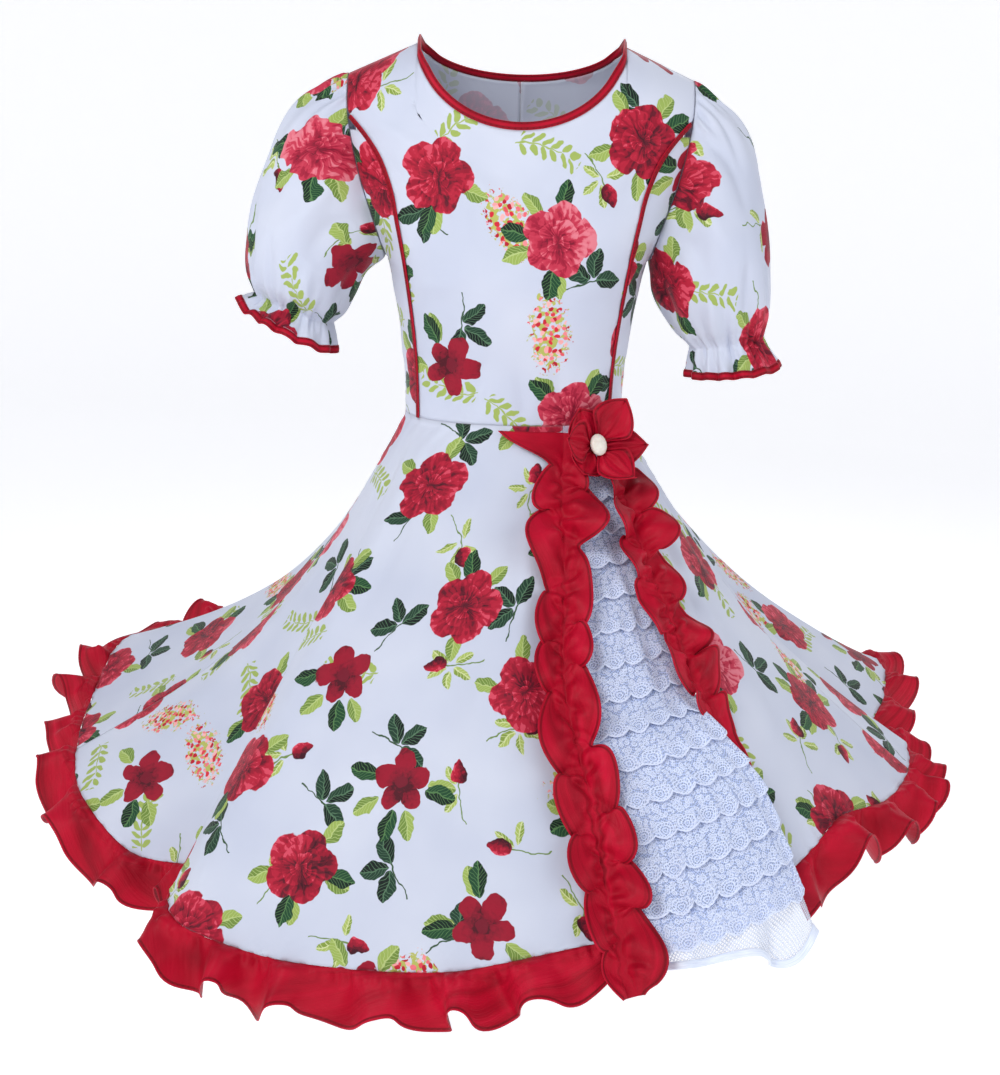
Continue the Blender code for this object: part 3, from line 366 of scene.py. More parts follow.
def rose_print():
    """White ground, then sprigs, buds and dotted heads, then leaves, then roses and open flowers."""
    tree = bpy.data.node_groups.new("rose_print", "ShaderNodeTree")
    tree.interface.new_socket("Cloth", in_out="INPUT", socket_type="NodeSocketVector")
    tree.interface.new_socket("Colour", in_out="OUTPUT", socket_type="NodeSocketColor")
    put = functools.partial(add, tree)
    lay = functools.partial(paint, put)

    def leaves(colour, cell, fan, tones, where=None):
        """Lays leaves with two halves and light veins over the colour, only where the mask is 1."""
        cover, half, vein = leaf_fan(put, cell, *fan)
        first, second, light = (hex_colour(tone) for tone in tones)
        green = lay(lay(first, second, half), light, vein)
        return lay(colour, green, put("Math MULTIPLY", cover, where) if where else cover)

    flat = put("NodeGroupInput")
    wobble = put("TexNoise", Vector=flat, Scale=60.0, Detail=2.0, out="Color")
    wobble = put("VectorMath SUBTRACT", wobble, (0.5, 0.5, 0.5))
    drawn = put("VectorMath MULTIPLY_ADD", wobble, (0.011, 0.011, 0.0), flat)
    blot = put("TexNoise", Vector=flat, Scale=210.0, Detail=3.0, Distortion=0.6)
    blot = put("Math SUBTRACT", blot, 0.5)
    ground = put("TexNoise", Vector=flat, Scale=7.0)
    colour = put("ValToRGB", ground, stops=((0.35, "#C4CADB"), (0.65, "#CFD4E2")))

    small = motif_cells(put, drawn, SPRIGS_APART, 0.35, 0.30, (0.031, 0.087, 0.0))
    kind = small["chance"][1]
    curve = put("Math MULTIPLY", small["x"], small["x"])
    curve = put("Math MULTIPLY_ADD", curve, 5.0, small["y"])
    side = put("Math ABSOLUTE", curve)
    stem = put("MapRange", side, 0.0010, 0.0005)
    reach = put("Math COMPARE", small["x"], -0.013, 0.024)
    stem = put("Math MULTIPLY", stem, reach)

    fan = put("Math COMPARE", kind, 0.16, 0.16)
    colour = lay(colour, hex_colour("#31502F"), put("Math MULTIPLY", stem, fan))
    shape = (5, 0.5, 0.003, 0.034, 0.0095, 3)
    colour = leaves(colour, small, shape, ("#0A1814", "#1C3A2A", "#54785A"), fan)

    bud = put("Math COMPARE", kind, 0.46, 0.14)
    colour = lay(colour, hex_colour("#6E8A45"), put("Math MULTIPLY", stem, bud))
    shape = (6, 0.0, 0.005, 0.024, 0.0052, 0.55)
    colour = leaves(colour, small, shape, ("#82993F", "#A6B85E", "#CFD89E"), bud)
    tip = put("Math SUBTRACT", small["x"], 0.019)
    taper = put("Math MULTIPLY_ADD", tip, -34.0, 1.0)
    shape = put("CombineXYZ", tip, put("Math DIVIDE", small["y"], taper), 0.0)
    shape = put("MapRange", oval_distance(put, shape, 0.0125, 0.0082), 1.03, 0.97)
    shape = put("Math MULTIPLY", shape, bud)
    streak = put("Math MULTIPLY_ADD", small["y"], 60.0, 0.5)
    streak = put("Math MULTIPLY_ADD", blot, 1.2, streak)
    colour = lay(colour, put("ValToRGB", streak, stops=PETAL_SHADES), shape)

    sprig = put("Math COMPARE", kind, 0.72, 0.12)
    step = put("Math DIVIDE", small["x"], 0.011)
    row = put("Math FLOOR", step)
    step = put("Math SUBTRACT", step, row)
    step = put("Math MULTIPLY", step, 0.011)
    twig = put("CombineXYZ", step, side, 0.0)
    twig = put("VectorRotate", twig, (0, 0, 0), (0, 0, 1), -0.85, rotation_type="Z_AXIS")
    twig = put("VectorMath SUBTRACT", twig, (0.0085, 0.0003, 0))
    twig = put("MapRange", oval_distance(put, twig, 0.0075, 0.0030), 1.05, 0.92)
    span = put("Math LESS_THAN", small["far"], 0.036)
    twig = put("Math MULTIPLY", twig, span)
    twig = put("Math MAXIMUM", twig, stem)
    twig = put("Math MULTIPLY", twig, sprig)
    colour = lay(colour, hex_colour("#9FB25C"), twig)

    head = put("Math COMPARE", kind, 0.93, 0.09)
    oval = put("Math MULTIPLY_ADD", blot, 1.7, oval_distance(put, small["way"], 0.040, 0.020))
    oval = put("MapRange", oval, 1.02, 0.94)
    oval = put("Math MULTIPLY", oval, head)
    leafy = put("TexNoise", Vector=flat, Scale=120.0)
    leafy = put("MapRange", leafy, 0.47, 0.50)
    leafy = put("Math MULTIPLY", leafy, oval)
    colour = lay(colour, hex_colour("#B5B95F"), leafy)
    dots = put("TexVoronoi", **PLANE, Vector=drawn, Scale=150.0)
    tint = put("SeparateColor", dots.node.outputs["Color"])
    tint = put("ValToRGB", tint, stops=((0.1, "#B3122B"), (0.4, "#D92A3C"), (0.6, "#EF7D84"), (0.8, "#F3B3B0")))
    dots = put("MapRange", dots, 0.42, 0.36)
    dots = put("Math MULTIPLY", dots, oval)
    colour = lay(colour, tint, dots)

    large = motif_cells(put, drawn, ROSES_APART, 0.62, 0.26, (0.0, 0.0, 0.0))
    kind = large["chance"][1]
    shape = (5, 0.30, 0.030, 0.032, 0.0092, 0.55)
    colour = leaves(colour, large, shape, ("#6F8A3C", "#98AE56", "#B6C77E"))
    shape = (4, 0.85, 0.028, 0.036, 0.0100, 0.42)
    colour = leaves(colour, large, shape, ("#0B2017", "#1B452A", "#557F4C"))

    spoke = put("VectorMath NORMALIZE", large["way"])
    depth = put("CombineXYZ", large["chance"][2], 0.0, large["far"])
    depth = put("VectorMath MULTIPLY", depth, (40.0, 0.0, 70.0))
    spoke = put("VectorMath MULTIPLY_ADD", spoke, (6.5, 6.5, 0.0), depth)
    stroke = put("TexNoise", Vector=spoke, Scale=1.0, Detail=1.0)
    stroke = put("Math SUBTRACT", stroke, 0.5)
    rose = colour
    coral = put("Math GREATER_THAN", kind, 0.90)
    for count, turn, middle, long, wide in ROSE_RINGS:
        far, shade = petal_ring(put, large, count, turn, middle, long, wide)
        shade = put("Math MULTIPLY_ADD", stroke, 1.25, shade)
        shade = put("Math MULTIPLY_ADD", blot, 0.35, shade)
        red, pink = (put("ValToRGB", shade, stops=stops) for stops in (PETAL_SHADES, CORAL_SHADES))
        tone = lay(red, pink, coral)
        rose = lay(rose, tone, put("MapRange", far, 1.02, 0.98))
    bloom = colour
    far, shade = petal_ring(put, large, 5, 0.0, 0.0180, 0.0160, 0.0118)
    shade = put("Math MULTIPLY_ADD", blot, 0.8, shade)
    bloom = lay(bloom, put("ValToRGB", shade, stops=BRIGHT_SHADES), put("MapRange", far, 1.02, 0.98))
    heart = put("MapRange", large["far"], 0.0075, 0.0066)
    bloom = lay(bloom, hex_colour("#740A24"), heart)
    open_flower = put("Math LESS_THAN", kind, 0.12)
    put("NodeGroupOutput", lay(rose, bloom, open_flower))
    return tree


PRINT = rose_print()
print("print nodes:", len(PRINT.nodes))

# %% [markdown]
# ## Printed cotton
# A light cotton and polyester poplin: smooth, almost matt, with a soft sheen where a fold turns to the
# light. Its threads are 0.3 mm apart, too fine to see from two metres, so the weave is drawn 0.9 mm
# apart and very shallow. The wrong side shows the print faintly, as ink soaks only part of the way.

# %% Printed cotton and its wrong side
THREAD_DRAWN = 0.0009


def weave_height(put, flat, spacing):
    """A plain weave: sin(2 pi u / spacing) x sin(2 pi v / spacing)."""
    scaled = put("VectorMath MULTIPLY", flat, (2 * math.pi / spacing,) * 3)
    waves = put("VectorMath SINE", scaled)
    parts = put("SeparateXYZ", waves).node.outputs
    return put("Math MULTIPLY", parts[0], parts[1])


def printed_cotton(name, fade):
    """The print on poplin. fade mixes it towards the ground, for the wrong side."""
    made, put, join = new_finish(name, 0.60, Sheen_Weight=0.08, Sheen_Roughness=0.45, Specular_IOR_Level=0.24)
    flat = put("UVMap", uv_map="cloth")
    printed = put("Group", flat, node_tree=PRINT)
    seam = put("Attribute", attribute_name="from_edge", out="Fac")
    shadow = put("MapRange", seam, 0.0, 0.0016, 0.16, 0.0)
    colour = paint(put, printed, hex_colour("#CAD0DF"), fade)
    colour = paint(put, colour, hex_colour("#A9A4AE"), shadow)
    join("Base Color", colour)
    height = weave_height(put, flat, THREAD_DRAWN)
    slack = put("TexNoise", Vector=flat, Scale=38.0, Detail=3.0)
    height = put("Math MULTIPLY_ADD", slack, 4.0, height)
    join("Normal", put("Bump", Height=height, Strength=0.22, Distance=0.0004))
    dry = put("MapRange", slack, 0.3, 0.7, 0.56, 0.68)
    join("Roughness", dry)
    return made


PRINTED = printed_cotton("printed_poplin", 0.0)
PRINTED_BACK = printed_cotton("printed_poplin_wrong_side", 0.62)
POPLIN = ([PRINTED, PRINTED_BACK], "printed_cotton")
print("printed cotton ready")

# %% [markdown]
# ## Red satin-faced cotton
# The frills, bindings, piping and flower are a plain red cloth with a satin face. It is dyed through, and
# its red is laid darker and lighter in broad patches at random: partly its own tone, partly painted shade
# and light that stand in for its folds. Its threads float one way, which gives a wider, softer shine than
# the print has. A row of stitches runs 3 mm inside each border; they are 2.5 mm long and drawn as wide as
# a pixel needs. The groove along the stitches is painted darker, a painted shade, and the last 0.9 mm at
# each border is painted a lighter red.

# %% Red cloth


def red_cotton(name, hem_line):
    """Satin threads as stretched noise, with a row of stitches at hem_line metres from the border."""
    made, put, join = new_finish(name, 0.52, Sheen_Weight=0.03, Sheen_Roughness=0.35, Specular_IOR_Level=0.16)
    flat = put("UVMap", uv_map="cloth")
    border = put("Attribute", attribute_name="from_edge", out="Fac")
    long_thread = put("VectorMath MULTIPLY", flat, (90.0, 1400.0, 1.0))
    thread = put("TexNoise", Vector=long_thread, Scale=1.0, Detail=2.0)
    cloud = put("TexNoise", Vector=flat, Scale=16.0, Detail=2.0)
    # painted shade and light: broad random patches of darker and lighter red, partly the cloth's own tone, partly
    # standing in for the shade and light of its folds
    colour = put("ValToRGB", cloud, stops=((0.28, "#8E021B"), (0.50, "#AE0525"), (0.74, "#C4092F")))
    apart = put("Math SUBTRACT", border, hem_line)
    apart = put("Math ABSOLUTE", apart)
    line = put("MapRange", apart, 0.0008, 0.0003)
    u = put("SeparateXYZ", flat)
    dash = put("Math PINGPONG", u, 0.0032)
    dash = put("MapRange", dash, 0.0008, 0.0012)
    stitch = put("Math MULTIPLY", line, dash)
    seen = put("Math MULTIPLY", stitch, 0.45)
    groove = put("MapRange", apart, 0.0017, 0.0004, 0.0, 0.85)
    # painted shade: the groove along the stitch line is painted dark red
    colour = paint(put, colour, hex_colour("#5E0210"), groove)
    colour = paint(put, colour, hex_colour("#A00A20"), seen)
    # the last 0.9 mm at each border is painted a lighter red
    lighter_rim = put("MapRange", border, 0.0009, 0.0, 0.0, 0.35)
    colour = paint(put, colour, hex_colour("#BC1530"), lighter_rim)
    join("Base Color", colour)
    crease = put("VectorMath MULTIPLY", flat, (125.0, 22.0, 1.0))
    crease = put("TexNoise", Vector=crease, Scale=1.0, Detail=1.5)
    held = put("MapRange", border, 0.0, 0.045, 3.0, 8.0)
    height = put("Math MULTIPLY_ADD", crease, held, thread)
    height = put("Math MULTIPLY_ADD", groove, -3.0, height)
    height = put("Math MULTIPLY_ADD", stitch, 2.0, height)
    join("Normal", put("Bump", Height=height, Strength=0.35, Distance=0.0004))
    return made


RED = red_cotton("red_satin_cotton_frill", 0.0032)
RED_BIAS = red_cotton("red_satin_cotton_bias", 0.0016)
RED_CLOTH = ([RED], "red_satin_cotton")
print("red cloth ready")

# %% [markdown]
# ## Lace and tulle
# The lace is cotton thread embroidered on fine nylon net, with loops and small flowers and a corded
# scalloped edge. Its net has 1.5 mm holes; they are drawn 2.4 mm wide so that they show. Holes are made
# with the shader's alpha, so that each tier lets the one below show through, as the real rows do.

# %% Lace
NET_DRAWN = 0.0024
NET_WIDE = 0.0030
SCALLOP_WIDTH = 0.0235


def net_threads(put, flat, spacing, thin, thick):
    """1 on the threads of a net of square cells turned by 45 degrees."""
    leaned = put("VectorRotate", flat, (0, 0, 0), (0, 0, 1), math.pi / 4, rotation_type="Z_AXIS")
    looks = {**PLANE, "feature": "DISTANCE_TO_EDGE"}
    edge = put("TexVoronoi", **looks, Vector=leaned, Scale=1 / spacing, Randomness=0.12)
    return put("MapRange", edge, thick, thin)


def white_lace(name, solid_ground):
    """Embroidery over net: a fan of rings and spokes above each scallop, small flowers and the corded edge."""
    made, put, join = new_finish(name, 0.70, Sheen_Weight=0.30, Sheen_Roughness=0.5, Specular_IOR_Level=0.30)
    flat = put("UVMap", uv_map="cloth")
    border = put("Attribute", attribute_name="from_edge", out="Fac")
    noise = put("TexNoise", Vector=flat, Scale=140.0, out="Color")
    noise = put("VectorMath SUBTRACT", noise, (0.5, 0.5, 0.5))
    drawn = put("VectorMath MULTIPLY_ADD", noise, (0.004, 0.004, 0.0), flat)
    parts = put("SeparateXYZ", drawn).node.outputs
    beside = put("Math WRAP", parts[0], SCALLOP_WIDTH, 0.0)
    beside = put("Math SUBTRACT", beside, SCALLOP_WIDTH / 2)
    above = put("Math SUBTRACT", border, 0.0085)
    way = put("CombineXYZ", beside, above, 0.0)
    far = put("VectorMath LENGTH", way, out="Value")
    round_it = put("Math MULTIPLY", far, 2 * math.pi / 0.0028)
    round_it = put("Math COSINE", round_it)
    ring = put("MapRange", round_it, 0.15, 0.55)
    angle = put("Math ARCTAN2", above, beside)
    spoke = put("Math MULTIPLY", angle, 14.0)
    spoke = put("Math COSINE", spoke)
    spoke = put("MapRange", spoke, 0.35, 0.75)
    outside = put("MapRange", far, 0.0045, 0.0052)
    spoke = put("Math MULTIPLY", spoke, outside)
    fan = put("Math MAXIMUM", ring, spoke)
    near = put("MapRange", far, 0.0098, 0.0090)
    fan = put("Math MULTIPLY", fan, near)
    flowers = put("TexVoronoi", **PLANE, Vector=drawn, Scale=165.0, Randomness=0.6)
    bloom = put("Math SUBTRACT", flowers, 0.34)
    bloom = put("Math ABSOLUTE", bloom)
    bloom = put("MapRange", bloom, 0.13, 0.07)
    heart = put("MapRange", flowers, 0.18, 0.12)
    bloom = put("Math MAXIMUM", bloom, heart)
    away = put("Math SUBTRACT", 1.0, near)
    bloom = put("Math MULTIPLY", bloom, away)
    cord = put("MapRange", border, 0.0024, 0.0014)
    thread = put("Math MAXIMUM", fan, bloom)
    thread = put("Math MAXIMUM", thread, cord)
    net = net_threads(put, flat, NET_DRAWN, 0.10, 0.20)
    cover = put("Math MAXIMUM", thread, net)
    cover = put("MapRange", cover, 0.0, 1.0, 0.42, 1.0)
    colour = paint(put, hex_colour("#BFCEF3"), hex_colour("#DFE8FF"), thread)
    join("Base Color", colour)
    if not solid_ground:
        join("Alpha", cover)
    wound = put("TexNoise", Vector=flat, Scale=900.0)
    height = put("Math MULTIPLY_ADD", wound, 0.4, thread)
    join("Normal", put("Bump", Height=height, Strength=0.5, Distance=0.0007))
    return made


def white_tulle(name):
    """A stiff net: only its threads are there, and between them the light passes."""
    made, put, join = new_finish(name, 0.55, Specular_IOR_Level=0.40)
    flat = put("UVMap", uv_map="cloth")
    net = net_threads(put, flat, NET_WIDE, 0.09, 0.18)
    cover = put("MapRange", net, 0.0, 1.0, 0.10, 0.90)
    colour = paint(put, hex_colour("#C9D3E6"), hex_colour("#E4EBF8"), net)
    join("Base Color", colour)
    join("Alpha", cover)
    return made


def white_satin(name):
    """The ribbon that binds the tulle: white satin with fine lengthwise threads."""
    made, put, join = new_finish(name, 0.38, Sheen_Weight=0.2, Specular_IOR_Level=0.5)
    flat = put("UVMap", uv_map="cloth")
    stretched = put("VectorMath MULTIPLY", flat, (60.0, 1800.0, 1.0))
    thread = put("TexNoise", Vector=stretched, Scale=1.0)
    colour = put("ValToRGB", thread, stops=((0.3, "#D5DFF2"), (0.7, "#EDF3FF")))
    join("Base Color", colour)
    join("Normal", put("Bump", Height=thread, Strength=0.15, Distance=0.0003))
    return made


LACE = white_lace("white_embroidered_lace", False)
LACE_GROUND = white_lace("white_lace_lining", True)
TULLE = white_tulle("white_nylon_tulle")
RIBBON = white_satin("white_satin_ribbon")
print("lace, tulle and ribbon ready")

# %% [markdown]
# ## Curves and cloth walls
# Every piece is a surface over two numbers, down and across, worked out for a whole grid at once. The
# helpers are a smooth curve through a table's rows, a chance line that stays the same on every run, and
# a wall built round a grid: outside, inside and four rims. The wall keeps flat coordinates in metres,
# so that the print and the stitches keep their real size on any piece.

# %% Curves through tables


def smooth(rows, at):
    """A cubic curve through the rows, whose first column is the place that the others belong to."""
    rows = np.asarray(rows, float)
    place, value = rows[:, 0], rows[:, 1:]
    slope = np.gradient(value, place, axis=0)
    at = np.clip(np.asarray(at, float), place[0], place[-1])
    i = np.clip(np.searchsorted(place, at, side="right") - 1, 0, len(place) - 2)
    step = (place[i + 1] - place[i])[..., None]
    t = ((at - place[i]) / (place[i + 1] - place[i]))[..., None]
    start = (1 + 2 * t) * (1 - t) ** 2 * value[i] + t * (1 - t) ** 2 * step * slope[i]
    end = t**2 * (3 - 2 * t) * value[i + 1] - t**2 * (1 - t) * step * slope[i + 1]
    return start + end


def ease(t):
    """3t^2 - 2t^3 between 0 and 1."""
    t = np.clip(t, 0.0, 1.0)
    return t * t * (3 - 2 * t)


def bell(x, middle, width):
    """exp(-((x - middle) / width)^2)."""
    return np.exp(-(((x - middle) / width) ** 2))


def unit(vectors):
    """Vectors divided by their length."""
    return vectors / np.maximum(np.linalg.norm(vectors, axis=-1, keepdims=True), 1e-9)


def wander(values, seed, waves=5):
    """A smooth chance line between about -1 and 1: the mean of sines with seeded pitches and phases."""
    chance = np.random.default_rng(seed)
    pitch = chance.uniform(0.5, 1.9, waves)
    phase = chance.uniform(0, 2 * math.pi, waves)
    return np.sin(np.asarray(values)[..., None] * pitch + phase).sum(-1) / math.sqrt(waves)


print("helpers for curves ready")

# %% A wall round a grid
CLOTH = 0.0010
LACE_THREAD = 0.0006
SEAM = 0.00012


def grid_normals(grid, wrap=False):
    """Cross product of the steps down and across, at each point."""
    if wrap:
        across = np.roll(grid, -1, axis=1) - np.roll(grid, 1, axis=1)
    else:
        across = np.gradient(grid, axis=1)
    return unit(np.cross(np.gradient(grid, axis=0), across))


def run_along(grid, axis, wrap=False):
    """Length run along one axis of a grid, from its first point."""
    if wrap:
        grid = np.concatenate([grid, grid[:, :1]], axis=1)
    steps = np.linalg.norm(np.diff(grid, axis=axis), axis=-1)
    start = np.zeros_like(np.take(steps, [0], axis=axis))
    return np.cumsum(np.concatenate([start, steps], axis=axis), axis=axis)


def run_of(line):
    """Length run along a line of points, from its first."""
    return np.concatenate([[0.0], np.cumsum(np.linalg.norm(np.diff(line, axis=0), axis=1))])


def cut_of(grid, wrap=False):
    """The flat cut: its longest run across, its longest run down, and its area as the sum of its cells."""
    width = float(run_along(grid, 1, wrap)[:, -1].max())
    length = float(run_along(grid, 0)[-1].max())
    if wrap:
        grid = np.concatenate([grid, grid[:, :1]], axis=1)
    one = np.cross(grid[1:, 1:] - grid[:-1, :-1], grid[1:, :-1] - grid[:-1, 1:])
    area = float(np.linalg.norm(one, axis=-1).sum() / 2)
    return width, length, min(area, 0.999 * width * length)


def mesh_from(name, points, corners, flat, material_rows, smooth_rows, looks, from_edge=None):
    """A mesh from arrays: points, four corners a face, the corners' flat coordinates, materials, shading."""
    mesh = bpy.data.meshes.new(name)
    mesh.vertices.add(len(points))
    mesh.vertices.foreach_set("co", np.ascontiguousarray(points, np.float32).ravel())
    mesh.loops.add(corners.size)
    mesh.loops.foreach_set("vertex_index", np.ascontiguousarray(corners, np.int32).ravel())
    mesh.polygons.add(len(corners))
    mesh.polygons.foreach_set("loop_start", np.arange(0, corners.size, 4, dtype=np.int32))
    mesh.polygons.foreach_set("material_index", np.ascontiguousarray(material_rows, np.int32))
    mesh.polygons.foreach_set("use_smooth", np.ascontiguousarray(smooth_rows, bool))
    mesh.update(calc_edges=True)
    layer = mesh.uv_layers.new(name="cloth")
    layer.data.foreach_set("uv", np.ascontiguousarray(flat, np.float32).ravel())
    if from_edge is not None:
        kept = mesh.attributes.new("from_edge", "FLOAT", "POINT")
        kept.data.foreach_set("value", np.ascontiguousarray(from_edge, np.float32).ravel())
    for look in looks:
        mesh.materials.append(look)
    return in_scene(name, mesh)


def wall(name, middle, flat, looks, thick=CLOTH, wrap=False, from_edge=None):
    """Outside = middle + half the wall along the normal, inside = middle - half, with rims between."""
    rows, columns = middle.shape[:2]
    normal = grid_normals(middle, wrap)
    points = np.concatenate([middle + normal * thick / 2, middle - normal * thick / 2]).reshape(-1, 3)
    cells = columns if wrap else columns - 1
    k, j = np.arange(cells)[:, None], np.arange(rows - 1)[:, None]
    r, c = (a.reshape(-1, 1) for a in np.meshgrid(j, k, indexing="ij"))
    there, back, rim = np.array([0, 1, 1, 0]), np.array([1, 0, 0, 1]), np.array([0, 0, 1, 1])
    # row, column and layer of each face's corners: outside, inside, top rim, bottom rim and side rims
    parts = [(r + there, c + rim, 0), (r + there, c + rim[::-1], 1), (0, k + there, rim), (rows - 1, k + back, rim)]
    if not wrap:
        parts += [(j + back, 0, rim), (j + there, columns - 1, rim)]
    parts = [np.broadcast_arrays(*part) for part in parts]
    row, column, layer = (np.concatenate(found) for found in zip(*parts))
    which = np.repeat(np.arange(len(parts)), [len(part[0]) for part in parts])
    corners = layer * rows * columns + row * columns + column % columns
    inside = (which == 1) & (len(looks) > 1)
    edge = None if from_edge is None else np.concatenate([from_edge, from_edge]).ravel()
    return mesh_from(name, points, corners, flat[row, column], inside, which < 2, looks, edge)


def flat_of(middle, start=(0.0, 0.0)):
    """Flat coordinates: run across from the middle column, and run down, each in metres."""
    across = run_along(middle, 1)
    across = across - across[:, [across.shape[1] // 2]]
    return np.stack([across + start[0], start[1] - run_along(middle, 0)], axis=-1)


def flat_upright(middle, start=(0.0, 0.0)):
    """Flat coordinates of a panel that stands upright: level run across from its middle column, and height."""
    level_steps = np.linalg.norm(np.diff(middle[..., :2], axis=1), axis=-1)
    across = np.cumsum(np.concatenate([np.zeros((len(middle), 1)), level_steps], axis=1), axis=1)
    across = across - across[:, [across.shape[1] // 2]]
    return np.stack([across + start[0], middle[..., 2] + start[1]], axis=-1)


def edge_distance(middle, top=True):
    """Metres to the nearest sewn border of a grid."""
    down, across = run_along(middle, 0), run_along(middle, 1)
    ways = [down] if top else []
    return np.minimum.reduce([*ways, down[-1] - down, across, across[:, -1:] - across])


print("walls ready")

# %% [markdown]
# ## Creases
# Worn cloth has soft folds where it is pulled or has room to spare. Each is placed with its two ends,
# width and depth, as a trough or ridge that fades out at its ends, and bent a little so that no two look
# alike. Seams pucker: tiny ridges stand across them and die away within a centimetre.

# %% Soft folds and seam puckers
WORN_DEPTH = 1.7


def soft_folds(plane, rows):
    """Sum of worn depth x exp(-(distance / width)^2) x sin(pi t)^0.8 along each fold's line."""
    height = np.zeros(plane.shape[:2])
    for ax, ay, bx, by, width, depth, bend in rows:
        way = np.array([bx - ax, by - ay])
        long = np.hypot(*way)
        t = ((plane[..., 0] - ax) * way[0] + (plane[..., 1] - ay) * way[1]) / long**2
        off = ((plane[..., 0] - ax) * way[1] - (plane[..., 1] - ay) * way[0]) / long
        inside = np.clip(t, 0, 1)
        off = off - bend * np.sin(math.pi * inside)
        past = np.maximum(np.abs(t - 0.5) - 0.5, 0) * long
        spread = width * (0.75 + 0.5 * inside)
        height += depth * np.exp(-((off / spread) ** 2) - (past / width) ** 2) * (
            np.sin(math.pi * np.clip(t, 0.04, 0.96)) ** 0.8
        )
    return WORN_DEPTH * height


def puckers(run, distance, seed, depth=0.0006, pitch=0.0085, reach=0.010):
    """Ridges across a seam: depth x chance line of the run x exp(-distance / reach)."""
    return depth * wander(run / pitch * 2.4, seed) * np.exp(-distance / reach)


def pressed(grid, height, wrap=False):
    """Moves each point along its normal."""
    return grid + grid_normals(grid, wrap) * height[..., None]


def pull_edges(grid, amount=SEAM):
    """Draws the side borders back from their seams, so that two pieces never share a point."""
    moved = grid.copy()
    moved[:, 0] += amount * unit(grid[:, 1] - grid[:, 0])
    moved[:, -1] += amount * unit(grid[:, -2] - grid[:, -1])
    return moved


sewn = {}


def sew_in(made, node):
    """Hangs a piece on the body in place of its solid."""
    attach(made, "root")
    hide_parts(node)
    sewn[node] = made


def cloth_piece(node, grid, flat, looks, slot, held, rests_on, cut=None, **walled):
    """A wall of cloth in place of its solid; the cut that it is given is not used."""
    made = wall(node + "_cloth", grid, flat, looks, **walled)
    sew_in(made, node)


print("creases ready")

# %% [markdown]
# ## Bodice
# Five panels meet at two princess seams in front, which run from the armhole over the bust to the
# waist, and at the side and centre back seams. The sections repeat the solids' tables: half width and
# depth at each height. The rows are 4 mm apart, fine enough for creases 1 to 2 cm wide.

# %% Sizes of the bodice
WAIST_Z = -0.410
UNDERARM_Z = -0.235
SHOULDER_TIP_Z = -0.038
SHOULDER_TIP_X = 0.190
NECK_HALF = 0.105
NECK_DROP_FRONT = 0.085
NECK_DROP_BACK = 0.034
SHOULDER_ROUND = 0.050
SECTION_POWER = 0.86
ARMHOLE_FULLNESS = 0.075
WAIST_BAND = 0.006
WAIST_RISE = -0.404
SIDE_TOP_Z = -0.098
PIPING_TOP_Z = -0.084
BINDING_HALF_WIDTH = 0.0045
BINDING_HALF_THICK = 0.0016
PIPING_HALF_WIDTH = 0.0026
PIPING_HALF_THICK = 0.0013
GAP = 0.0003

MIRROR = np.array([-1.0, 1.0, 1.0])

# height, half width, front depth, back depth
BODY_ROWS = (
    (-0.410, 0.1235, 0.1000, 0.0880),
    (-0.350, 0.1265, 0.1060, 0.0870),
    (-0.290, 0.1340, 0.1190, 0.0930),
    (-0.250, 0.1430, 0.1240, 0.0990),
    (-0.200, 0.1570, 0.1180, 0.1050),
    (-0.140, 0.1760, 0.1000, 0.1050),
    (-0.080, 0.1880, 0.0820, 0.0900),
    (-0.035, 0.1900, 0.0680, 0.0720),
    (0.000, 0.1900, 0.0600, 0.0620),
)
# height, half distance between the princess seams
PRINCESS_ROWS = (
    (-0.410, 0.1050),
    (-0.340, 0.1080),
    (-0.270, 0.1160),
    (-0.200, 0.1280),
    (-0.150, 0.1400),
    (-0.120, 0.1540),
    (-0.100, 0.1690),
    (-0.080, 0.1875),
)


def shoulder_height(x):
    """Level over the neck, then falling in a straight line to the shoulder tip."""
    slope = SHOULDER_TIP_Z / (SHOULDER_TIP_X - NECK_HALF)
    return slope * np.maximum(np.abs(x) - NECK_HALF, 0.0)


def body_width(z):
    """Half width at the side or armhole, and of the whole section that it is cut from."""
    half = smooth(BODY_ROWS, z)[..., 0]
    above = np.clip((z - UNDERARM_Z) / 0.09, 0.0, 1.0)
    return half, half * (1 + ARMHOLE_FULLNESS * np.sin(math.pi / 2 * above))


def body_point(angle, z, back):
    """x = width x sin^p, y = depth x cos^p of the angle, drawn in towards the shoulder line."""
    row = smooth(BODY_ROWS, z)
    depth = row[..., 2] if back else row[..., 1]
    x = body_width(z)[1] * np.sign(np.sin(angle)) * np.abs(np.sin(angle)) ** SECTION_POWER
    below = np.clip((shoulder_height(x) - z) / SHOULDER_ROUND, 0.0, 1.0)
    depth = depth * np.sqrt(1 - (1 - below) ** 2)
    y = depth * np.abs(np.cos(angle)) ** SECTION_POWER
    return np.stack([x, y if back else -y, z], axis=-1)


def angle_at(x, z):
    """The angle at which the section has that x."""
    return np.arcsin(np.clip((x / body_width(z)[1]) ** (1 / SECTION_POWER), 0.0, 1.0))


def side_angle(z):
    """The side seam, or the armhole above it."""
    return np.where(z <= UNDERARM_Z + 1e-6, math.pi / 2, angle_at(body_width(z)[0], z))


def princess_angle(z):
    """The angle of the princess seam."""
    return angle_at(smooth(PRINCESS_ROWS, z)[..., 0], z)


def front_edge(z):
    """The centre front ends at the princess seam, and above it at the armhole."""
    return np.where(z < PRINCESS_ROWS[-1][0], princess_angle(z), side_angle(z))


print("bust half width", round(float(body_width(np.array(-0.25))[0]), 4), "m")

# %% Panels of the bodice


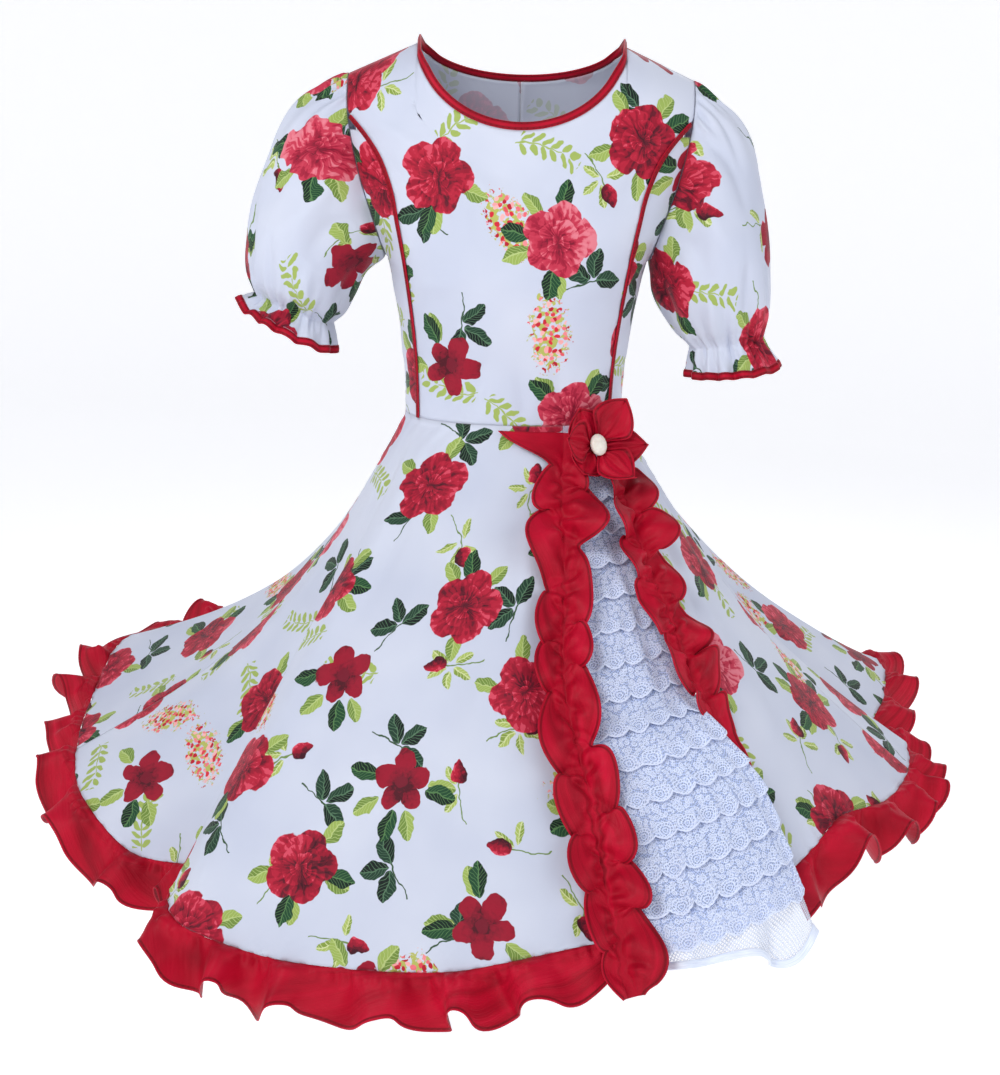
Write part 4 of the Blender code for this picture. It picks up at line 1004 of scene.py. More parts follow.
def top_edge(x, drop):
    """Half an ellipse for the neck, with its binding taken off, then the shoulder line."""
    width = 2 * BINDING_HALF_WIDTH
    inside = np.clip(np.abs(x) / (NECK_HALF + width), 0.0, 1.0)
    neck = -(drop + width) * np.sqrt(1 - inside**2)
    return np.where(np.abs(x) < NECK_HALF + width, neck + shoulder_height(x), shoulder_height(x))


def column_shares(neck_columns, shoulder_columns, edge_angle):
    """Shares of the way to the panel's side, with one exactly at the neck's corner."""
    corner = NECK_HALF + 2 * BINDING_HALF_WIDTH
    z = shoulder_height(corner)
    at_corner = float(angle_at(corner, z) / edge_angle(np.array(z)))
    outer = np.linspace(at_corner, 1.0, shoulder_columns + 1)[1:]
    return np.concatenate([np.linspace(0, at_corner, neck_columns + 1), outer])


def bodice_half(shares, rows, drop, back, edge_angle):
    """Rows from the top edge down to the waist; the lowest stands straight under the one above it."""
    top = np.full(len(shares), -0.05)
    for _ in range(60):
        x = body_point(shares * edge_angle(top), top, back)[..., 0]
        top = 0.5 * top + 0.5 * top_edge(x, drop)
    rise = np.linspace(1, 0, rows)[:, None]
    z = WAIST_Z + rise * (top - WAIST_Z)
    straight = np.maximum(z, WAIST_RISE)
    grid = body_point(shares * edge_angle(straight), straight, back)
    grid[..., 2] = z
    return grid


def mirror_x(grid):
    """The other side's piece: columns in reverse order, so that it still faces out."""
    return (grid * MIRROR)[:, ::-1]


NECK_COLUMNS = 44
half = bodice_half(column_shares(NECK_COLUMNS, 24, front_edge), 104, NECK_DROP_FRONT, False, front_edge)
front_plain = np.concatenate([mirror_x(half)[:, :-1], half], axis=1)
back_half = bodice_half(column_shares(NECK_COLUMNS, 24, side_angle), 104, NECK_DROP_BACK, True, side_angle)
z = np.linspace(SIDE_TOP_Z, WAIST_Z, 84)
straight = np.maximum(z, WAIST_RISE)
share = np.linspace(0, 1, 22)
angles = princess_angle(straight)[:, None] + (side_angle(straight) - princess_angle(straight))[:, None] * share
side_plain = body_point(angles, np.repeat(straight[:, None], 22, axis=1), False)
side_plain[..., 2] = z[:, None]
print("bodice rows and columns:", front_plain.shape[:2], back_half.shape[:2], side_plain.shape[:2])

# %% Creases of the bodice
# x and z of a fold's two ends, width, depth and bend, in metres: front, side and back
FRONT_FOLDS = (
    (-0.085, -0.405, -0.070, -0.300, 0.010, -0.0022, 0.004),
    (-0.040, -0.408, -0.030, -0.330, 0.009, -0.0018, -0.003),
    (0.012, -0.408, 0.004, -0.345, 0.008, -0.0015, 0.002),
    (0.060, -0.405, 0.045, -0.310, 0.010, -0.0022, -0.004),
    (-0.150, -0.115, -0.085, -0.185, 0.011, -0.0024, 0.006),
    (-0.165, -0.090, -0.100, -0.120, 0.009, 0.0016, -0.004),
    (0.155, -0.110, 0.090, -0.175, 0.011, -0.0022, -0.006),
    (0.166, -0.088, 0.110, -0.110, 0.009, 0.0015, 0.003),
    (-0.110, -0.260, -0.040, -0.235, 0.014, 0.0020, 0.006),
    (0.110, -0.255, 0.045, -0.240, 0.014, 0.0020, -0.006),
    (-0.060, -0.120, 0.010, -0.150, 0.012, -0.0012, 0.004),
    (0.070, -0.130, 0.030, -0.200, 0.012, -0.0012, 0.004),
)
SIDE_FOLDS = (
    (0.155, -0.235, 0.120, -0.270, 0.009, -0.0022, 0.003),
    (0.160, -0.210, 0.130, -0.225, 0.008, -0.0018, -0.002),
    (0.125, -0.400, 0.120, -0.340, 0.007, -0.0014, 0.002),
    (0.112, -0.395, 0.110, -0.320, 0.007, -0.0012, -0.002),
)
BACK_FOLDS = (
    (0.020, -0.400, 0.035, -0.300, 0.010, -0.0020, 0.004),
    (0.075, -0.405, 0.070, -0.290, 0.011, -0.0024, -0.004),
    (0.170, -0.140, 0.095, -0.190, 0.012, -0.0024, 0.006),
    (0.150, -0.230, 0.080, -0.250, 0.012, -0.0020, -0.005),
    (0.030, -0.090, 0.110, -0.110, 0.014, -0.0014, 0.006),
    (0.060, -0.350, 0.115, -0.370, 0.009, 0.0014, 0.003),
)


def creased(grid, rows, seed):
    """Listed folds, a slow unevenness, and puckers along every sewn border."""
    plane = grid[..., [0, 2]]
    distance = edge_distance(grid)
    run = run_along(grid, 0) + run_along(grid, 1)
    slow = 0.0009 * wander(plane[..., 0] * 40 + plane[..., 1] * 17, seed) * wander(plane[..., 1] * 33, seed + 1)
    height = soft_folds(plane, rows) + slow
    height = height * ease(distance / 0.010)
    height = height + puckers(run, distance, seed + 2, 0.0005) * ease(distance / 0.002)
    return pressed(grid, height - 0.0004 * np.exp(-distance / 0.0012))


def mirrored(folds):
    """The same folds on the other side."""
    return [(-ax, az, -bx, bz, width, depth, -bend) for ax, az, bx, bz, width, depth, bend in folds]


panels = {
    "bodice_front": (front_plain, FRONT_FOLDS, 11, (0.03, 0.02)),
    "bodice_side_left": (side_plain, SIDE_FOLDS, 21, (0.31, 0.07)),
    "bodice_side_right": (mirror_x(side_plain), mirrored(SIDE_FOLDS), 31, (0.55, 0.13)),
    "bodice_back_left": (back_half[:, ::-1], BACK_FOLDS, 41, (0.93, 0.05)),
    "bodice_back_right": (back_half * MIRROR, mirrored(BACK_FOLDS), 51, (1.31, 0.11)),
}
for node, (plain, folds, seed, start) in panels.items():
    grid = pull_edges(creased(plain, folds, seed))
    flat, seams = flat_upright(plain, start), edge_distance(plain, top="side" in node)
    cloth_piece(node, grid, flat, *POPLIN, "hung", "neck_binding", cut_of(plain), from_edge=seams)

# %% [markdown]
# ## Bindings and piping
# The neck, sleeve and tulle edges are closed with a bias strip folded over them, and a flat piping is
# sewn into each princess seam. A strip is a rounded section carried along a line, with a shallow groove
# where its stitches pull it in.

# %% A rounded strip along a line
STRIP_SIDES = 16


def cap_faces(sides):
    """Closes one end: a fan of four-cornered faces from the ring's first point."""
    fan = np.arange(1, sides - 1, 2)
    return np.stack([0 * fan, fan, fan + 1, fan + 2], 1)


def strip(name, line, across, normal, half_width, half_thick, look, closed=False, groove=0.0003):
    """Section = (half width x cos a, half thickness x sin a), each with its power lowered to square it."""
    turn = np.linspace(0, 2 * math.pi, STRIP_SIDES, endpoint=False)
    wide = np.sign(np.cos(turn)) * np.abs(np.cos(turn)) ** 0.75
    tall = np.sign(np.sin(turn)) * np.abs(np.sin(turn)) ** 0.75
    pull = groove * bell(wide, 0.55, 0.22) * np.sign(tall)
    section = half_width * wide[None, :, None] * across[:, None] + (
        (half_thick * tall - pull)[None, :, None] * normal[:, None]
    )
    tube = line[:, None] + section
    run = run_of(line)
    rows = len(line)
    if closed:
        run = np.append(run, run[-1] + np.linalg.norm(line[-1] - line[0]))
    cells = np.meshgrid(np.arange(rows if closed else rows - 1), np.arange(STRIP_SIDES), indexing="ij")
    row, column = cells[0].reshape(-1, 1) + [0, 0, 1, 1], cells[1].reshape(-1, 1) + [0, 1, 1, 0]
    corners = (row % rows) * STRIP_SIDES + column % STRIP_SIDES
    flat = np.stack([run[row], column / STRIP_SIDES * 4 * half_width], axis=-1)
    if not closed:
        cap = cap_faces(STRIP_SIDES)
        corners = np.concatenate([corners, cap[:, ::-1], cap + (rows - 1) * STRIP_SIDES])
        flat = np.concatenate([flat, np.zeros((len(cap) * 2, 4, 2))])
    outward = float(np.dot(np.cross(tube[0, 1] - tube[0, 0], tube[1, 0] - tube[0, 0]), tube[0, 0] - line[0]))
    if outward < 0:
        corners, flat = corners[:, ::-1], flat[:, ::-1]
    shaded = np.arange(len(corners)) < len(row)
    border = np.broadcast_to((1 - np.abs(wide)) * half_width, (rows, STRIP_SIDES))
    made = mesh_from(name, tube.reshape(-1, 3), corners, flat, np.zeros(len(corners)), shaded, [look], border)
    length = float(run[-1])
    wide_cut = max(4.4 * half_width, 0.0101)
    return made, (wide_cut, length, min(wide_cut * 0.98, 2.1 * half_width + 0.0016) * length)


print("strips ready")

# %% Neck binding and piping
middle_column = front_plain.shape[1] // 2
picked = slice(middle_column - NECK_COLUMNS, middle_column + NECK_COLUMNS + 1)
ahead, ahead_normal = front_plain[0, picked], grid_normals(front_plain)[0, picked]
picked = slice(NECK_COLUMNS + 1)
behind, behind_normal = back_half[0, picked], -grid_normals(back_half)[0, picked]
loop = np.concatenate([ahead, behind[-2::-1], (behind * MIRROR)[1:-1]])
normal = np.concatenate([ahead_normal, behind_normal[-2::-1], (behind_normal * MIRROR)[1:-1]])
outward = np.sign(np.sum(normal * (loop * [1, 1, 0] + [0, 0, 0.05]), axis=1))[:, None]
normal = unit(normal * np.where(outward == 0, 1, outward))
for _ in range(6):
    normal = unit(np.roll(normal, 1, axis=0) + 2 * normal + np.roll(normal, -1, axis=0))
tangent = unit(np.roll(loop, -1, axis=0) - np.roll(loop, 1, axis=0))
across = unit(np.cross(normal, tangent))
normal = unit(np.cross(tangent, across))
across = across * np.sign(np.sum(across * (np.array([0, 0, 0.03]) - loop), axis=1))[:, None]
line = loop + across * (BINDING_HALF_WIDTH + GAP)
size = (BINDING_HALF_WIDTH, BINDING_HALF_THICK)
made, cut = strip("neck_binding_cloth", line, across, normal, *size, RED_BIAS, True)
sew_in(made, "neck_binding")

z = np.linspace(WAIST_Z, PIPING_TOP_Z, 150)
straight = np.maximum(z, WAIST_RISE)
here = body_point(princess_angle(straight), straight, False)
beside = body_point(princess_angle(straight) + 0.04, straight, False)
here[:, 2] = beside[:, 2] = z
along = np.gradient(here, axis=0)
normal = unit(np.cross(unit(beside - here), unit(along)))
across = unit(np.cross(along, normal))
line = here + normal * (CLOTH / 2 + GAP + PIPING_HALF_THICK)
size = (PIPING_HALF_WIDTH, PIPING_HALF_THICK)
for name, turned in (("piping_left", np.ones(3)), ("piping_right", MIRROR)):
    made, cut = strip(name + "_cloth", line * turned, across * turned, normal * turned, *size, RED_BIAS)
    sew_in(made, name)

# %% [markdown]
# ## Sleeves
# A short puff sleeve is gathered into the armhole and again by elastic above a small flounce. Rings round
# a leaning axis give its form, each with its own width and depth. The elastic bunches the cloth into
# uneven tucks, so its waves are a chance line of the turn and not one even sine.

# %% Rings of the sleeves
# share of the length, distance from the centre plane, height, lean in degrees, half width, half depth,
# forward shift, height of the even gathers
SLEEVE_RIGHT_ROWS = (
    (0.24, 0.2030, -0.1600, 60.0, 0.0940, 0.066, 0.002, 0.0015),
    (0.46, 0.2290, -0.2040, 42.0, 0.0790, 0.071, 0.006, 0.0000),
    (0.66, 0.2430, -0.2480, 30.0, 0.0680, 0.069, 0.010, 0.0008),
    (0.80, 0.2490, -0.2800, 22.0, 0.0560, 0.058, 0.012, 0.0022),
    (0.87, 0.2500, -0.2960, 20.0, 0.0440, 0.044, 0.013, 0.0024),
    (0.93, 0.2545, -0.3060, 23.0, 0.0520, 0.051, 0.014, 0.0028),
    (1.00, 0.2600, -0.3180, 27.0, 0.0610, 0.059, 0.015, 0.0040),
)
SLEEVE_LEFT_ROWS = (
    (0.24, 0.1980, -0.1690, 60.0, 0.0930, 0.066, 0.002, 0.0015),
    (0.46, 0.2130, -0.2160, 44.0, 0.0800, 0.071, 0.006, 0.0000),
    (0.66, 0.2260, -0.2640, 28.0, 0.0660, 0.068, 0.010, 0.0008),
    (0.80, 0.2350, -0.3020, 16.0, 0.0530, 0.055, 0.012, 0.0022),
    (0.87, 0.2395, -0.3230, 9.0, 0.0415, 0.043, 0.013, 0.0024),
    (0.93, 0.2440, -0.3400, 8.0, 0.0470, 0.049, 0.014, 0.0028),
    (1.00, 0.2485, -0.3570, 7.0, 0.0520, 0.055, 0.015, 0.0040),
)
SLEEVE_GATHERS = 10
ARMHOLE_GAP = 0.0008
UNDERARM_GAP = 0.0016
# turn in degrees and share of a fold's two ends, then width, depth and bend in metres
SLEEVE_FOLDS = (
    (-60, 0.08, -40, 0.42, 0.008, -0.0028, 0.006),
    (-25, 0.06, -18, 0.36, 0.007, -0.0026, -0.004),
    (5, 0.06, 2, 0.40, 0.008, 0.0024, 0.004),
    (30, 0.07, 36, 0.38, 0.007, -0.0028, 0.005),
    (62, 0.08, 48, 0.46, 0.008, -0.0030, -0.006),
    (92, 0.12, 70, 0.56, 0.009, 0.0026, 0.006),
    (-95, 0.12, -70, 0.50, 0.009, -0.0026, 0.006),
    (120, 0.20, 100, 0.60, 0.010, -0.0030, -0.006),
    (-130, 0.20, -105, 0.62, 0.010, 0.0026, 0.006),
    (20, 0.50, 34, 0.84, 0.009, -0.0028, 0.004),
    (-15, 0.55, -28, 0.84, 0.009, 0.0024, -0.004),
    (60, 0.58, 66, 0.85, 0.008, -0.0030, 0.003),
    (-62, 0.56, -74, 0.85, 0.009, -0.0028, 0.004),
    (105, 0.60, 112, 0.86, 0.008, 0.0026, -0.004),
    (150, 0.40, 140, 0.80, 0.010, -0.0026, 0.005),
    (-160, 0.42, -150, 0.82, 0.010, -0.0026, 0.005),
)
SLEEVE_COLUMNS = 216
SLEEVE_STATIONS = np.concatenate(
    [np.linspace(0, 0.12, 16)[:-1], np.linspace(0.12, 0.78, 46)[:-1], np.linspace(0.78, 1, 36)]
)
# mean radius and length that the folds' turns and shares are scaled by, share at the elastic, radius of the cut
SLEEVE_RADIUS = 0.066
SLEEVE_LENGTH = 0.26
ELASTIC_AT = 0.87
SLEEVE_CUT_RADIUS = 0.072


def armhole(turn, side):
    """The armhole from the shoulder tip, 0, forwards round the underarm, 180 degrees, to the back."""
    z = UNDERARM_Z + (SHOULDER_TIP_Z - UNDERARM_Z) * (1 + np.cos(turn)) / 2
    z = np.clip(z, UNDERARM_Z + 1e-5, SHOULDER_TIP_Z - 1e-5)
    ahead = body_point(side_angle(z), z, False)
    behind = body_point(side_angle(z), z, True)
    ring = np.where((np.sin(turn) >= 0)[:, None], ahead, behind)
    under = (1 - np.cos(turn)) / 2
    ring[:, 0] += ARMHOLE_GAP + (UNDERARM_GAP - ARMHOLE_GAP) * under**3
    return ring * np.array([side, 1.0, 1.0])


def sleeve_grid(rows, side, seed):
    """A smooth curve through the rings for every turn, then folds, gathers and elastic along the normal."""
    turn = -math.pi + np.arange(SLEEVE_COLUMNS) / SLEEVE_COLUMNS * 2 * math.pi
    keys, outs = [armhole(turn, side)], [np.zeros((SLEEVE_COLUMNS, 3))]
    for _, x, z, lean, half_width, half_depth, ahead, gather in rows:
        tilt = math.radians(lean)
        up = np.array([side * math.cos(tilt), 0.0, math.sin(tilt)])
        out = np.cos(turn)[:, None] * up * half_width
        out = out + np.sin(turn)[:, None] * np.array([0.0, -1.0, 0.0]) * half_depth
        keys.append(np.array([side * x, -ahead, z]) + out)
        outs.append(unit(out) * gather * np.cos(SLEEVE_GATHERS * turn)[:, None])
    places = np.array([0.0] + [row[0] for row in rows])
    at = SLEEVE_STATIONS
    grid = smooth(np.column_stack([places, np.stack(keys).reshape(len(places), -1)]), at)
    grid = grid + 0.5 * smooth(np.column_stack([places, np.stack(outs).reshape(len(places), -1)]), at)
    grid = grid.reshape(len(at), SLEEVE_COLUMNS, 3)
    if side > 0:
        grid, turn = grid[:, ::-1], turn[::-1]
    share, lap = np.meshgrid(at, turn, indexing="ij")
    scale = np.array([SLEEVE_RADIUS, SLEEVE_LENGTH])
    plane = np.stack([lap, share], axis=-1) * scale
    folds = [
        (*scale * (math.radians(a), b), *scale * (math.radians(c), d), *rest) for a, b, c, d, *rest in SLEEVE_FOLDS
    ]
    height = soft_folds(plane, folds)
    slow = 0.0012 * wander(np.sin(lap) * 5 + share * 7, seed) * ease(share / 0.1) * ease((1 - share) / 0.2)
    tucks = wander(np.sin(lap * 9 + 1.3) * 2 + np.sin(lap * 17) * 1.6, seed + 1)
    tucks = tucks + 0.8 * np.cos(lap * 34 + 0.7 * np.sin(lap * 3))
    head = 0.0020 * tucks * bell(share, 0.05, 0.07) * np.maximum(np.cos(lap) + 0.35, 0)
    elastic = 0.0016 * tucks * bell(share, ELASTIC_AT, 0.055)
    elastic = elastic + 0.0016 * wander(np.sin(lap * 6) * 3, seed + 2) * bell(share, ELASTIC_AT, 0.13)
    elastic = elastic - 0.0010 * bell(share, ELASTIC_AT, 0.013)
    rows_of_stitches = 0.0005 * np.cos((share - ELASTIC_AT) * 520) * bell(share, ELASTIC_AT, 0.02)
    flounce = 0.0032 * np.cos(lap * 14 + 1.1 * np.sin(lap * 2 + seed)) * ease((share - 0.88) / 0.10)
    height = height + slow + head + elastic + rows_of_stitches + flounce
    height = height * ease(share / 0.02)
    return pressed(grid, height, True)


def sleeve_cut(grid, side):
    """The flat sleeve: its cut's radius a radian across, and the run up from its straight lower edge."""
    lap = np.linspace(-math.pi, math.pi, SLEEVE_COLUMNS + 1) * (-1 if side > 0 else 1)
    down = run_along(grid, 0)
    down = np.concatenate([down, down[:, :1]], axis=1)
    return np.stack([np.broadcast_to(lap * SLEEVE_CUT_RADIUS * -side, down.shape), down[-1:] - down], axis=-1)


for side_name, rows, side, seed, start in (
    ("right", SLEEVE_RIGHT_ROWS, -1.0, 61, (1.9, 0.03)),
    ("left", SLEEVE_LEFT_ROWS, 1.0, 71, (2.7, 0.09)),
):
    grid = sleeve_grid(rows, side, seed)
    edge = grid[-1].copy()
    back_off = unit(grid[-4] - edge)
    grid[-1] = edge + back_off * (2 * BINDING_HALF_WIDTH)
    keep = np.concatenate([np.arange(len(grid) - 5), [len(grid) - 1]])
    grid = grid[keep]
    down = run_along(grid, 0)
    distance = np.minimum(down, down[-1] - down)
    flat = sleeve_cut(grid, side) + np.array(start)
    sleeve, ring = f"sleeve_{side_name}", {"wrap": True, "from_edge": distance}
    cloth_piece(sleeve, grid, flat, *POPLIN, "gathered", "bodice_front", cut_of(grid, True), **ring)
    tangent = unit(np.roll(edge, -1, axis=0) - np.roll(edge, 1, axis=0))
    across = unit(-back_off - tangent * np.sum(-back_off * tangent, axis=1)[:, None])
    normal = unit(np.cross(tangent, across))
    line = grid[-1] + across * (BINDING_HALF_WIDTH + GAP)
    size = (BINDING_HALF_WIDTH, BINDING_HALF_THICK)
    made, cut = strip(f"sleeve_binding_{side_name}_cloth", line, across, normal, *size, RED_BIAS, True)
    sew_in(made, f"sleeve_binding_{side_name}")

# %% [markdown]
# ## Skirt
# Three flared panels fall from the waist in deep flutes. Each hem row of the solids' table is a crest or
# a valley, and a panel's point lies on the straight way from the waist to the hem, bowed as the stiff
# poplin carries itself. The print lies on the flat cut, which is a part of a ring.

# %% Sizes of the skirt
# waist angle, hem angle, hem radius, hem height, bow halfway down
HEM_ROWS = (
    (-90, -84, 0.550, -0.862, -0.052),
    (-78, -73, 0.535, -0.894, -0.036),
    (-69, -64, 0.490, -0.934, -0.020),
    (-62, -57, 0.448, -0.932, -0.008),
    (-55, -52, 0.454, -0.916, 0.000),
    (-49, -50, 0.490, -0.928, 0.000),
    (-41, -44, 0.520, -0.940, 0.004),
    (-31, -34, 0.490, -0.960, 0.008),
    (-18, -21, 0.465, -0.962, 0.010),
    (-5, -8, 0.462, -0.951, 0.010),
    (8, 0, 0.466, -0.934, 0.007),
    (20, 9, 0.466, -0.917, 0.002),
    (30, 16, 0.464, -0.910, 0.000),
    (54, 42, 0.464, -0.882, 0.000),
    (62, 50, 0.462, -0.864, -0.006),
    (70, 58, 0.460, -0.850, -0.012),
    (80, 70, 0.492, -0.858, -0.020),
    (90, 83, 0.516, -0.858, -0.030),
    (98, 92, 0.524, -0.852, -0.036),
    (106, 98, 0.498, -0.846, -0.038),
    (114, 106, 0.544, -0.836, -0.040),
    (123, 117, 0.604, -0.824, -0.040),
    (133, 127, 0.554, -0.820, -0.034),
    (143, 139, 0.590, -0.814, -0.030),
    (153, 150, 0.544, -0.814, -0.026),
    (163, 162, 0.592, -0.802, -0.024),
    (173, 173, 0.546, -0.806, -0.024),
    (184, 184, 0.594, -0.796, -0.024),
    (195, 196, 0.548, -0.802, -0.024),
    (206, 208, 0.596, -0.790, -0.028),
    (217, 220, 0.546, -0.802, -0.038),
    (228, 231, 0.562, -0.802, -0.050),
    (238, 240, 0.552, -0.802, -0.060),
    (248, 249, 0.580, -0.796, -0.064),
    (259, 262, 0.562, -0.834, -0.062),
    (270, 276, 0.550, -0.862, -0.052),
)
# share of the skirt's length, waist angles of the slit's right and left edges
SLIT_ROWS = ((0.00, 23.0, 52.0), (0.25, 21.0, 48.5), (0.50, 20.0, 50.2), (0.75, 25.0, 53.8), (1.00, 29.5, 53.5))
RUFFLE_SHARE = 0.095
RUFFLE_REACH = 0.86
SKIRT_SLOPE_LENGTH = 0.64
HEM_WAVE_LENGTH = 0.086
HEM_WAVE_HEIGHT = 0.0205
SKIRT_ROWS = 112


def waist_point(angle):
    """The waist seam at an angle from the front, in degrees, towards the dress's own left."""
    turn = np.radians(np.asarray(angle, float))
    wrapped = (turn + math.pi) % (2 * math.pi) - math.pi
    z = np.full(turn.shape, WAIST_RISE)
    inner = np.where(np.abs(wrapped) <= math.pi / 2, wrapped, math.pi - wrapped)
    ahead = body_point(inner, z, False)
    behind = body_point(inner, z, True)
    point = np.where((np.abs(wrapped) <= math.pi / 2)[..., None], ahead, behind)
    point[..., 2] = WAIST_Z - GAP / 2
    return point


def hem_point(angle):
    """The frill's edge below that waist angle, and the bow halfway down."""
    waist, hem, radius, height, bow = np.array(HEM_ROWS, float).T
    turn = np.radians(hem)
    rows = np.column_stack([waist, radius * np.sin(turn), -radius * np.cos(turn), height, bow])
    lap = np.array([360.0, 0, 0, 0, 0])
    rows = np.concatenate([rows[-4:-1] - lap, rows, rows[1:4] + lap])
    wrapped = (np.asarray(angle, float) + 90) % 360 - 90
    found = smooth(rows, wrapped)
    return found[..., :3], found[..., 3]


def skirt_point(angle, share):
    """start + share x (hem - start) + bow x sin(pi share), outwards and up."""
    edge, bow = hem_point(angle)
    start = waist_point(angle) - np.array([0.0, 0.0, WAIST_BAND])
    reach = (edge - start) * (1 - RUFFLE_SHARE)
    share = np.asarray(share, float)[..., None]
    lift = unit(edge * np.array([1.0, 1.0, 0.0])) * 0.7 + np.array([0.0, 0.0, 0.7])
    return start + reach * share + lift * bow[..., None] * np.sin(math.pi * np.clip(share, 0, 1))


def skirt_normal(angle, share):
    """Points out of the skirt's surface."""
    across = skirt_point(angle + 1.0, share) - skirt_point(angle - 1.0, share)
    down = skirt_point(angle, share + 0.02) - skirt_point(angle, share - 0.02)
    return unit(np.cross(down, across))


def right_edge(share):
    """Waist angle of the slit's edge on the dress's own right."""
    return smooth(SLIT_ROWS, share)[..., 0]


def left_edge(share):
    """Waist angle of the slit's edge on the dress's own left."""
    return smooth(SLIT_ROWS, share)[..., 1]


def skirt_panel(first, last, columns):
    """Rows from the waist seam down, with the panel's two borders given for every share."""
    share = np.concatenate([[0.0], np.linspace(0, 1, SKIRT_ROWS)])
    a = first(share) if callable(first) else np.full(share.shape, float(first))
    b = last(share) if callable(last) else np.full(share.shape, float(last))
    angle = a[:, None] + (b - a)[:, None] * np.linspace(0, 1, columns)
    grid = skirt_point(angle, np.repeat(share[:, None], columns, axis=1))
    grid[0] = waist_point(angle[0])
    return grid, angle, share


PANEL_BORDERS = {"front_right": (-90, right_edge, 236), "front_left": (left_edge, 90, 84), "back": (90, 270, 330)}
plain_panels = {name: skirt_panel(*borders) for name, borders in PANEL_BORDERS.items()}
print("skirt length", round(float(run_along(plain_panels["front_right"][0], 0)[-1].mean()), 3), "m")

# %% Creases of the skirt
# waist angle and share of a fold's two ends, width, depth and bend, in metres
SKIRT_FOLDS = (
    (-84, 0.02, -86, 0.55, 0.014, -0.0030, 0.010),
    (-74, 0.02, -72, 0.80, 0.020, -0.0040, -0.012),
    (-58, 0.03, -60, 0.60, 0.016, -0.0045, 0.010),
    (-50, 0.25, -52, 0.98, 0.022, 0.0040, -0.010),
    (-38, 0.02, -35, 0.50, 0.014, -0.0035, 0.008),
    (-26, 0.04, -27, 0.92, 0.022, 0.0030, 0.014),
    (-12, 0.02, -14, 0.45, 0.013, -0.0025, -0.006),
    (-4, 0.30, -6, 0.98, 0.024, -0.0036, 0.012),
    (8, 0.02, 7, 0.60, 0.014, 0.0024, 0.006),
    (17, 0.20, 20, 0.95, 0.018, -0.0030, -0.008),
    (60, 0.03, 62, 0.70, 0.016, -0.0036, 0.010),
    (70, 0.10, 68, 0.98, 0.020, 0.0032, -0.010),
    (80, 0.02, 82, 0.55, 0.014, -0.0034, 0.008),
    (97, 0.02, 99, 0.60, 0.014, -0.0034, 0.008),
    (112, 0.04, 108, 0.90, 0.020, -0.0040, -0.012),
    (128, 0.02, 131, 0.50, 0.015, 0.0030, 0.008),
    (141, 0.20, 137, 0.98, 0.022, -0.0042, 0.012),
    (158, 0.02, 160, 0.62, 0.015, -0.0034, -0.008),
    (172, 0.05, 169, 0.85, 0.020, 0.0034, 0.010),
    (186, 0.02, 189, 0.55, 0.014, -0.0036, 0.008),
    (201, 0.15, 199, 0.98, 0.022, -0.0040, -0.012),
    (214, 0.02, 216, 0.60, 0.015, 0.0030, 0.008),
    (229, 0.05, 226, 0.92, 0.020, -0.0042, 0.012),
    (243, 0.02, 246, 0.58, 0.014, -0.0034, -0.008),
    (256, 0.10, 258, 0.90, 0.020, 0.0032, 0.010),
)
PANEL_STARTS = {"front_right": (0.40, 3.10), "front_left": (2.30, 3.55), "back": (4.90, 3.20)}


def ring_cut(grid):
    """The flat cut of a flared panel, a part of a ring: (r + run down) x (sin, -cos) of the share's angle."""
    down = run_along(grid, 0)
    waist, hem = run_along(grid[:1], 1)[0, -1], run_along(grid[-1:], 1)[0, -1]
    deep = float(down[-1].mean())
    opened = (hem - waist) / deep
    inner = waist / opened
    across = run_along(grid, 1)
    part = across / across[:, -1:]
    turn = (part - 0.5) * opened
    radius = inner + down
    return np.stack([radius * np.sin(turn), -radius * np.cos(turn)], axis=-1)


for name, (plain, angle, share) in plain_panels.items():
    flat = ring_cut(plain)
    down, across = run_along(plain, 0), run_along(plain, 1)
    scale = across[:, -1:] / (angle[:, -1:] - angle[:, :1])
    height = np.zeros(plain.shape[:2])
    for a, s, b, t, width, depth, bend in SKIRT_FOLDS:
        along = np.clip((share - s) / (t - s), 0, 1)[:, None]
        inside = ((share > s) & (share < t))[:, None]
        off = (angle - a - (b - a) * along) * scale - bend * np.sin(math.pi * along)
        ridge = depth * bell(off, 0, width * (0.6 + 0.7 * share[:, None]))
        height += inside * ridge * np.sin(math.pi * along) ** 0.8
    seed = {"front_right": 81, "front_left": 91, "back": 101}[name]
    height += 0.0016 * wander(flat[..., 0] * 22, seed) * wander(flat[..., 1] * 9, seed + 1)
    waist_tucks = 0.0008 * wander(across * 260, seed + 2) * bell(down, 0.012, 0.016)
    hem_pull = 0.0011 * wander(across * 210, seed + 3) * np.exp(-(down[-1:] - down) / 0.014)
    border = np.minimum(across, across[:, -1:] - across)
    side_pucker = puckers(down, border, seed + 4, 0.0006)
    height = height * ease(border / 0.012) + (waist_tucks + hem_pull + side_pucker) * ease(border / 0.002)
    height = height * ease(down / 0.006) - 0.0004 * np.exp(-np.minimum(border, down) / 0.0015)
    grid = pull_edges(pressed(plain, height))
    flat, seams = flat + np.array(PANEL_STARTS[name]), edge_distance(plain)
    cloth_piece(f"skirt_{name}", grid, flat, *POPLIN, "hung", "bodice_front", cut_of(plain), from_edge=seams)

# %% [markdown]
# ## Hem frill
# A strip of red cloth is gathered onto the hem, about one and a half times as long as the hem itself. Its
# waves start flat in the seam and grow to the free edge, where a few fold over. No two waves are equal,
# so the phase runs unevenly and each wave's height changes by chance.

# %% Hem frill


